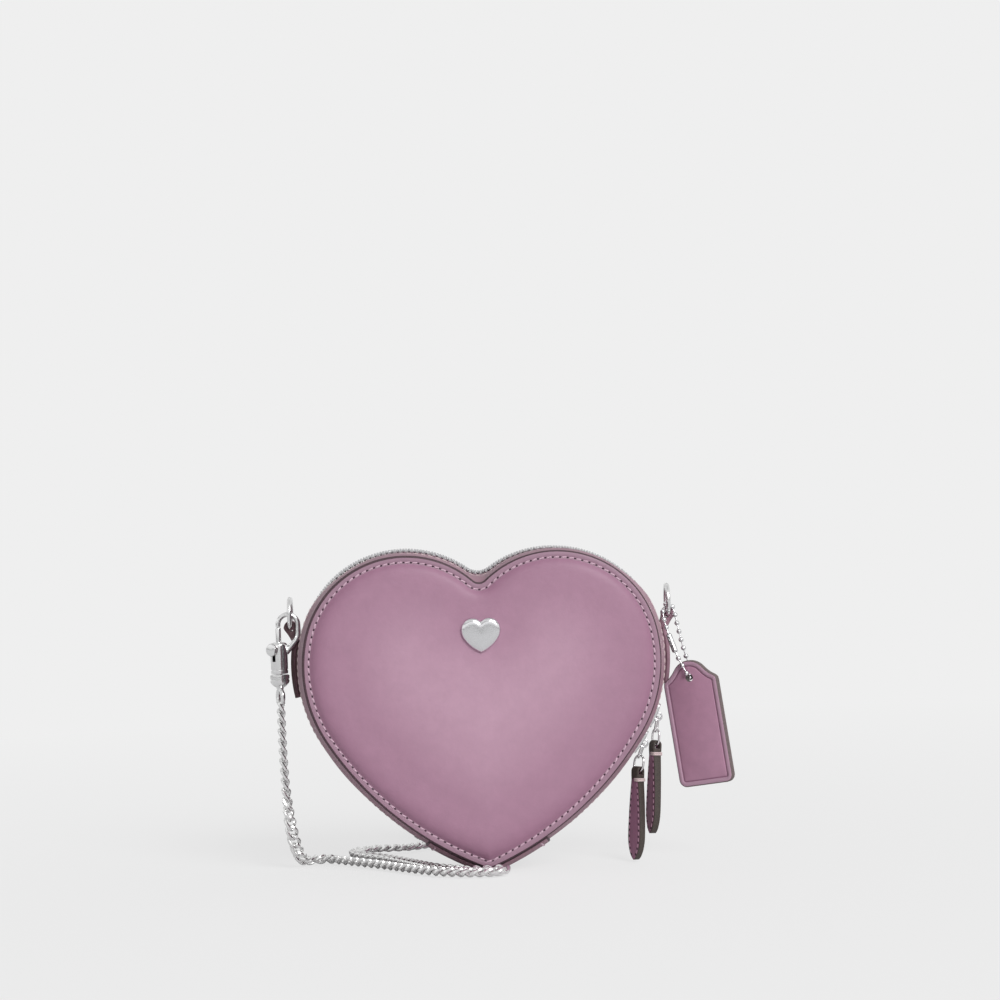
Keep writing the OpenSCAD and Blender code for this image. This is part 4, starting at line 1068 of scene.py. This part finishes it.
def hook(prefix, place, frame_body, spring_h):
    """Frame with its bow, bolt with its knob in the slot, spring of height spring_h under the bolt, and swivel."""
    r, hollow = 4.0, 2.6
    slot, low, high = 13, 5.8, 12.4
    slot_sides = (knob_turn + slot, knob_turn + 360 - slot)
    shape = Shape().lathe([(1.5, 0.05), (3.5, 0.05), (3.85, 0.15), (r, 0.5), (r, 1.5), (3.8, 1.75), (3.8, 2.05),
                           (r, 2.3), (r, low)], steps=48)
    shape.lathe([(r, high), (r, 13.3), (3.85, 13.8), (3.4, 14.3), (2.6, 14.65), (1.33, 14.8), (1.33, 13.6),
                 (hollow, 13.6), (hollow, high)], steps=48)
    shape.lathe([(r, low), (r, 9), (r, high)], steps=44, span=slot_sides)
    # The barrel's hollow, the slot's faces and the hole below are dark metal, painted shade inside the hollow.
    shape.lathe([(hollow, low), (hollow, high)], steps=44, span=slot_sides, kind=1)
    shape.lathe([(hollow, low), (hollow, 1.2), (1.5, 1.2), (1.5, 0.05)], steps=48, kind=1)
    for z in (low, high):
        shape.lathe([(hollow, z), (r, z)], steps=6, span=(knob_turn - slot, knob_turn + slot), kind=1)
    for a in slot_sides[::-1]:
        shape.grid([[(q * cos(a), q * sin(a), z) for q in (hollow, r)] for z in (low, high)], kind=1)
    bow_r, bow_z = 4.6, 22.9
    bow = [(0, 21.95), (0, bow_z), *[(bow_r + bow_r * cos(a), bow_z + bow_r * sin(a)) for a in range(165, 0, -15)],
           (2 * bow_r, bow_z), (2 * bow_r, 19), (8.95, 17), (7.9, 15.2), (6.3, 13.4), (4.6, 11.4), (3.2, 9.8)]
    bow = spline([(x, 0, z) for x, z in bow], 0.8)
    width = np.interp(np.linspace(0, 1, len(bow)), [0, 0.25, 0.55, 0.8, 1], [1.28, 1.28, 1.3, 1.5, 1.7])
    section = np.array([(cos(a), 0.88 * sin(a)) for a in range(0, 360, 20)])
    shape.sweep(bow, width[:, None, None] * section, (0, 1, 0)).move(place)
    frame_obj = shape.make(f"{prefix}_hook_frame_cast", frame_body, "silver dark_metal", "silver_metal", crease=35)

    bolt = Shape().lathe([(0.01, 21.85), (0.75, 21.75), (1.12, 21.4), (1.25, 20.9), (1.25, 12.6), (2.4, 12.6), (2.4, 9),
                          (0.01, 9)], steps=32)
    outwards = turned("Z", knob_turn) @ shift(0, 0, knob_z) @ turned("Y", 90)
    bolt.lathe([(0.75, 1), (0.75, 4.55), (1.6, 4.6), (2.55, 4.75), (2.85, 5.1), (2.85, 5.9), (2.6, 6.3), (1.9, 6.5),
                (0.01, 6.6)], outwards, steps=40)
    for k in range(knurls):
        a = k * 360 / knurls
        bolt.tube(moved([(knob_r * cos(a), knob_r * sin(a), z) for z in (5.1, 5.5, 5.9)], outwards), 0.16, 6)
    bolt_obj = bolt.move(place).make(f"{prefix}_hook_bolt_turned", f"{prefix}_hook_bolt", "silver", "silver_metal",
                                     crease=40, weld=False)

    turns, spring_r = 7 if spring_h > 3 else 2.5, 2.03
    wire = [(spring_r * cos(a), spring_r * sin(a), 3.05 + (spring_h - 0.7) * a / (360 * turns))
            for a in np.arange(0, 360 * turns + 1, 15)]
    spring = Shape().tube(moved(wire, place), 0.32, 8)
    spring_obj = spring.make(f"{prefix}_bolt_spring_coil", frame_body, "spring", "spring_steel",
                             f"{prefix}_hook_spring")

    swivel = Shape().lathe([
        (0.01, 2.4), (2.2, 2.4), (2.2, 1.4), (1.3, 1.4), (1.3, -0.3), (4.1, -0.32), (4.45, -0.6), (4.5, -1.0),
        (4.5, -2.2), (4.25, -2.45), (4.25, -2.75), (4.5, -3.0), (4.45, -3.9), (3.9, -4.7), (2.9, -5.7), (1.9, -6.3),
        (1.6, -6.9), (1.6, -7.5), (0.01, -7.6)], steps=48)
    eye_r, eye_z, eye_turn = 3.2, -10.7, 24
    eye = moved([(0, eye_r * cos(a), eye_z + eye_r * sin(a)) for a in range(0, 360, 8)], turned("Z", eye_turn))
    swivel.tube(eye, 1.1, 16, closed=True).move(place)
    swivel_obj = swivel.make(f"{prefix}_hook_swivel_turned", f"{prefix}_hook_swivel", "silver", "silver_metal",
                             crease=35)
    return frame_obj, bolt_obj, spring_obj, swivel_obj


near_parts = hook("near", near_place, "near_hook", 6.2)
far_parts = hook("far", far_place, "case_back", 1.7)
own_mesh(near_parts[2])

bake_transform(strap_obj)


# Bead chain and hang tag

tag_hole_at, tag_hole_r, tag_hole_z, tag_turn, tag_tilt = vec(96.8, 1, 84), 1.9, 8, -28, 8
tag_half_t = 1.78
bead_route = vec(tag_hole_at, (97.9, 4, 86), (96.8, 4.8, 89.5), (95, 5.4, 95), (93.6, 6.3, 101), (92.4, 7.4, 107),
                 (91.4, 8.4, 112.5), (90.7, 9, 116), (89.6, 9.3, 117.9), (88.2, 9.5, 118.5), (86.8, 9.3, 117.9),
                 (85.8, 8.9, 116.2), (85.6, 8.4, 114), (86, 7, 110.5), (87.4, 4.8, 105), (89.2, 2.6, 99),
                 (91.2, 0.6, 93.6), (93.4, -1.2, 89), (94.9, -1.6, 86))


def bead_chain():
    bead_r, thread_r, join = 1.2, 0.35, 15
    place, _ = spaced(bead_route, 4, closed=True)
    chain, connector = Shape(), Shape()
    for k, (p, q) in enumerate(zip(place, np.roll(place, -1, 0))):
        if abs(k - join) > 1:
            chain.ball(bead_r, aimed(p, q - p))
        if k < join - 1 or k > join:
            chain.tube([p, (p + q) / 2, q], thread_r, 8)
    start, stop = place[join - 1], place[join + 1]
    end = [(0.01, -0.9), (0.7, -0.9), (1.15, -0.6), (1.38, -0.1), (1.4, 0.4)]
    length = np.linalg.norm(stop - start)
    connector.lathe(end + [(r, length - z) for r, z in end[::-1]], aimed(start, stop - start), steps=28)
    chain.make("bead_chain_beads", "bead_loop", "bead", "bead_metal", weld=False, crease=50)
    connector.make("bead_connector_pressed", "bead_loop", "bead", "bead_metal")


bead_chain()


def tag_hole(y):
    return [(tag_hole_r * cos(a), y, -tag_hole_z + tag_hole_r * sin(a)) for a in range(0, 360, 15)]


def hang_tag():
    """Leather tag with a domed head, hollow shoulders, a raised rim and a line pressed in beside it."""
    w, dome_r, corner, length = 13.5, 9.0, 3.5, 58.0
    half = [(dome_r * sin(a), -dome_r * (1 - cos(a))) for a in range(0, 51, 5)]
    half += [(7.75, -4.3), (8.7, -5.4), (10.3, -6.9), (12.2, -8.1), (13.25, -9.1), (w, -10.6)]
    half += [(w, z) for z in (-16, -26, -38, -48)]
    half += [(w - corner + corner * cos(a), -length + corner - corner * sin(a)) for a in range(0, 91, 10)]
    outline = np.array(half + [(-x, z) for x, z in half[::-1][:-1]])
    outline = spaced([(x, 0, z) for x, z in outline], 0.7, closed=True)[0]
    away = outward(outline + (0, 0, middle[1] + length / 2))
    profile = [(0.0, 0.0), (-0.02, 1.0), (0.15, 1.5), (0.5, tag_half_t)]
    rim = [(0.8, 1.88), (1.4, 1.98), (2.0, 1.9), (2.3, 1.66), (2.5, 1.5), (2.8, 1.5), (3.05, 1.7), (3.3, tag_half_t)]
    # Faces from the edge inwards: edge paint, the rim's painted highlight, the pressed line's painted shade, then the
    # tag's face.
    kinds = np.repeat([1, 2, 3, 0], [3, 4, 2, 2])[:, None]
    shape = Shape()
    for face in (-1, 1):
        rows = np.array([outline - away * d + (0, face * y, 0) for d, y in profile + rim])
        shape.grid(rows, kinds, around=True)
        work = bmesh.new()
        edges = []
        for ring in (rows[-1], tag_hole(face * tag_half_t)):
            corners = [work.verts.new(p) for p in ring]
            edges += [work.edges.new((a, b)) for a, b in zip(corners, corners[1:] + corners[:1])]
        bmesh.ops.triangle_fill(work, edges=edges, use_beauty=True)
        work.verts.index_update()
        shape.add([v.co[:] for v in work.verts], [[v.index for v in f.verts] for f in work.faces])
        work.free()
    shape.grid([tag_hole(y) for y in (-tag_half_t, -0.6, 0.6, tag_half_t)], 1, around=True)
    shape.move(shift(*tag_hole_at) @ turned("Z", tag_turn) @ turned("Y", -tag_tilt) @ shift(0, 0, tag_hole_z))
    shape.make("hang_tag_leather", "hang_tag", "tag tag_paint tag_rim groove", "panel_leather", crease=50)


hang_tag()


# Floor, lamps and world

backdrop = (0.863, 0.863, 0.863, 1)


def floor():
    far = 12.0
    mesh = bpy.data.meshes.new("floor")
    mesh.from_pydata([(-far, -far, 0), (far, -far, 0), (far, far, 0), (-far, far, 0)], [], [(0, 1, 2, 3)])
    obj = bpy.data.objects.new("floor", mesh)
    obj.location.z = -0.00003
    bpy.context.scene.collection.objects.link(obj)
    material = bpy.data.materials.new("floor_white")
    material.use_nodes = True
    tree = material.node_tree
    shader = tree.nodes["Principled BSDF"]
    shader.inputs["Base Color"].default_value = (0.81, 0.81, 0.815, 1)
    shader.inputs["Roughness"].default_value = 0.9
    away = add_node(tree, "VectorMath", add_node(tree, "TexCoord").outputs["Object"], operation="LENGTH")
    reach = add_node(tree, "MapRange", away.outputs["Value"], From_Min=0.12, From_Max=0.9, To_Min=0.8)
    seen = add_node(tree, "Math", reach, add_node(tree, "LightPath").outputs["Is Camera Ray"], operation="MULTIPLY")
    mix = add_node(tree, "MixShader", seen, shader, add_node(tree, "Emission", Color=backdrop))
    tree.links.new(mix.outputs["Shader"], tree.nodes["Material Output"].inputs["Surface"])
    mesh.materials.append(material)


def lamps():
    key = bpy.data.lights.new("key", "SUN")
    key.energy, key.angle = 1.98, math.radians(28)
    obj = bpy.data.objects.new("key", key)
    obj.rotation_euler = Vector((0.36, -0.72, 0.55)).to_track_quat("Z", "Y").to_euler()
    bpy.context.scene.collection.objects.link(obj)


def sky():
    """Even light for the scene, a plain backdrop for the camera, and soft bands for metal to mirror."""
    world = bpy.data.worlds.new("studio")
    bpy.context.scene.world = world
    world.use_nodes = True
    tree = world.node_tree
    split = add_node(tree, "SeparateXYZ", add_node(tree, "TexCoord").outputs["Generated"])
    from_right = add_node(tree, "MapRange", split.outputs["X"], From_Min=-0.9, From_Max=0.9, To_Min=0.12, To_Max=0.76)
    fill = tree.nodes["Background"]
    fill.inputs["Strength"].default_value = 1
    tree.links.new(from_right.outputs["Result"], fill.inputs["Color"])
    stops = [(0.0, 0.75), (0.42, 0.62), (0.5, 0.3), (0.56, 0.9), (0.68, 1.0), (0.76, 0.4), (0.86, 0.9), (1.0, 0.55)]
    height = add_node(tree, "MapRange", split.outputs["Z"], From_Min=-1)
    bands = add_node(tree, "Background", add_ramp(tree, height, stops), Strength=1)
    wall = add_node(tree, "Background", Color=backdrop)
    rays = add_node(tree, "LightPath").outputs
    lit = add_node(tree, "MixShader", rays["Is Glossy Ray"], fill, bands)
    seen = add_node(tree, "MixShader", rays["Is Camera Ray"], lit, wall)
    tree.links.new(seen.outputs["Shader"], tree.nodes["World Output"].inputs["Surface"])


floor()
lamps()
sky()
bpy.context.scene.view_settings.view_transform = "Standard"
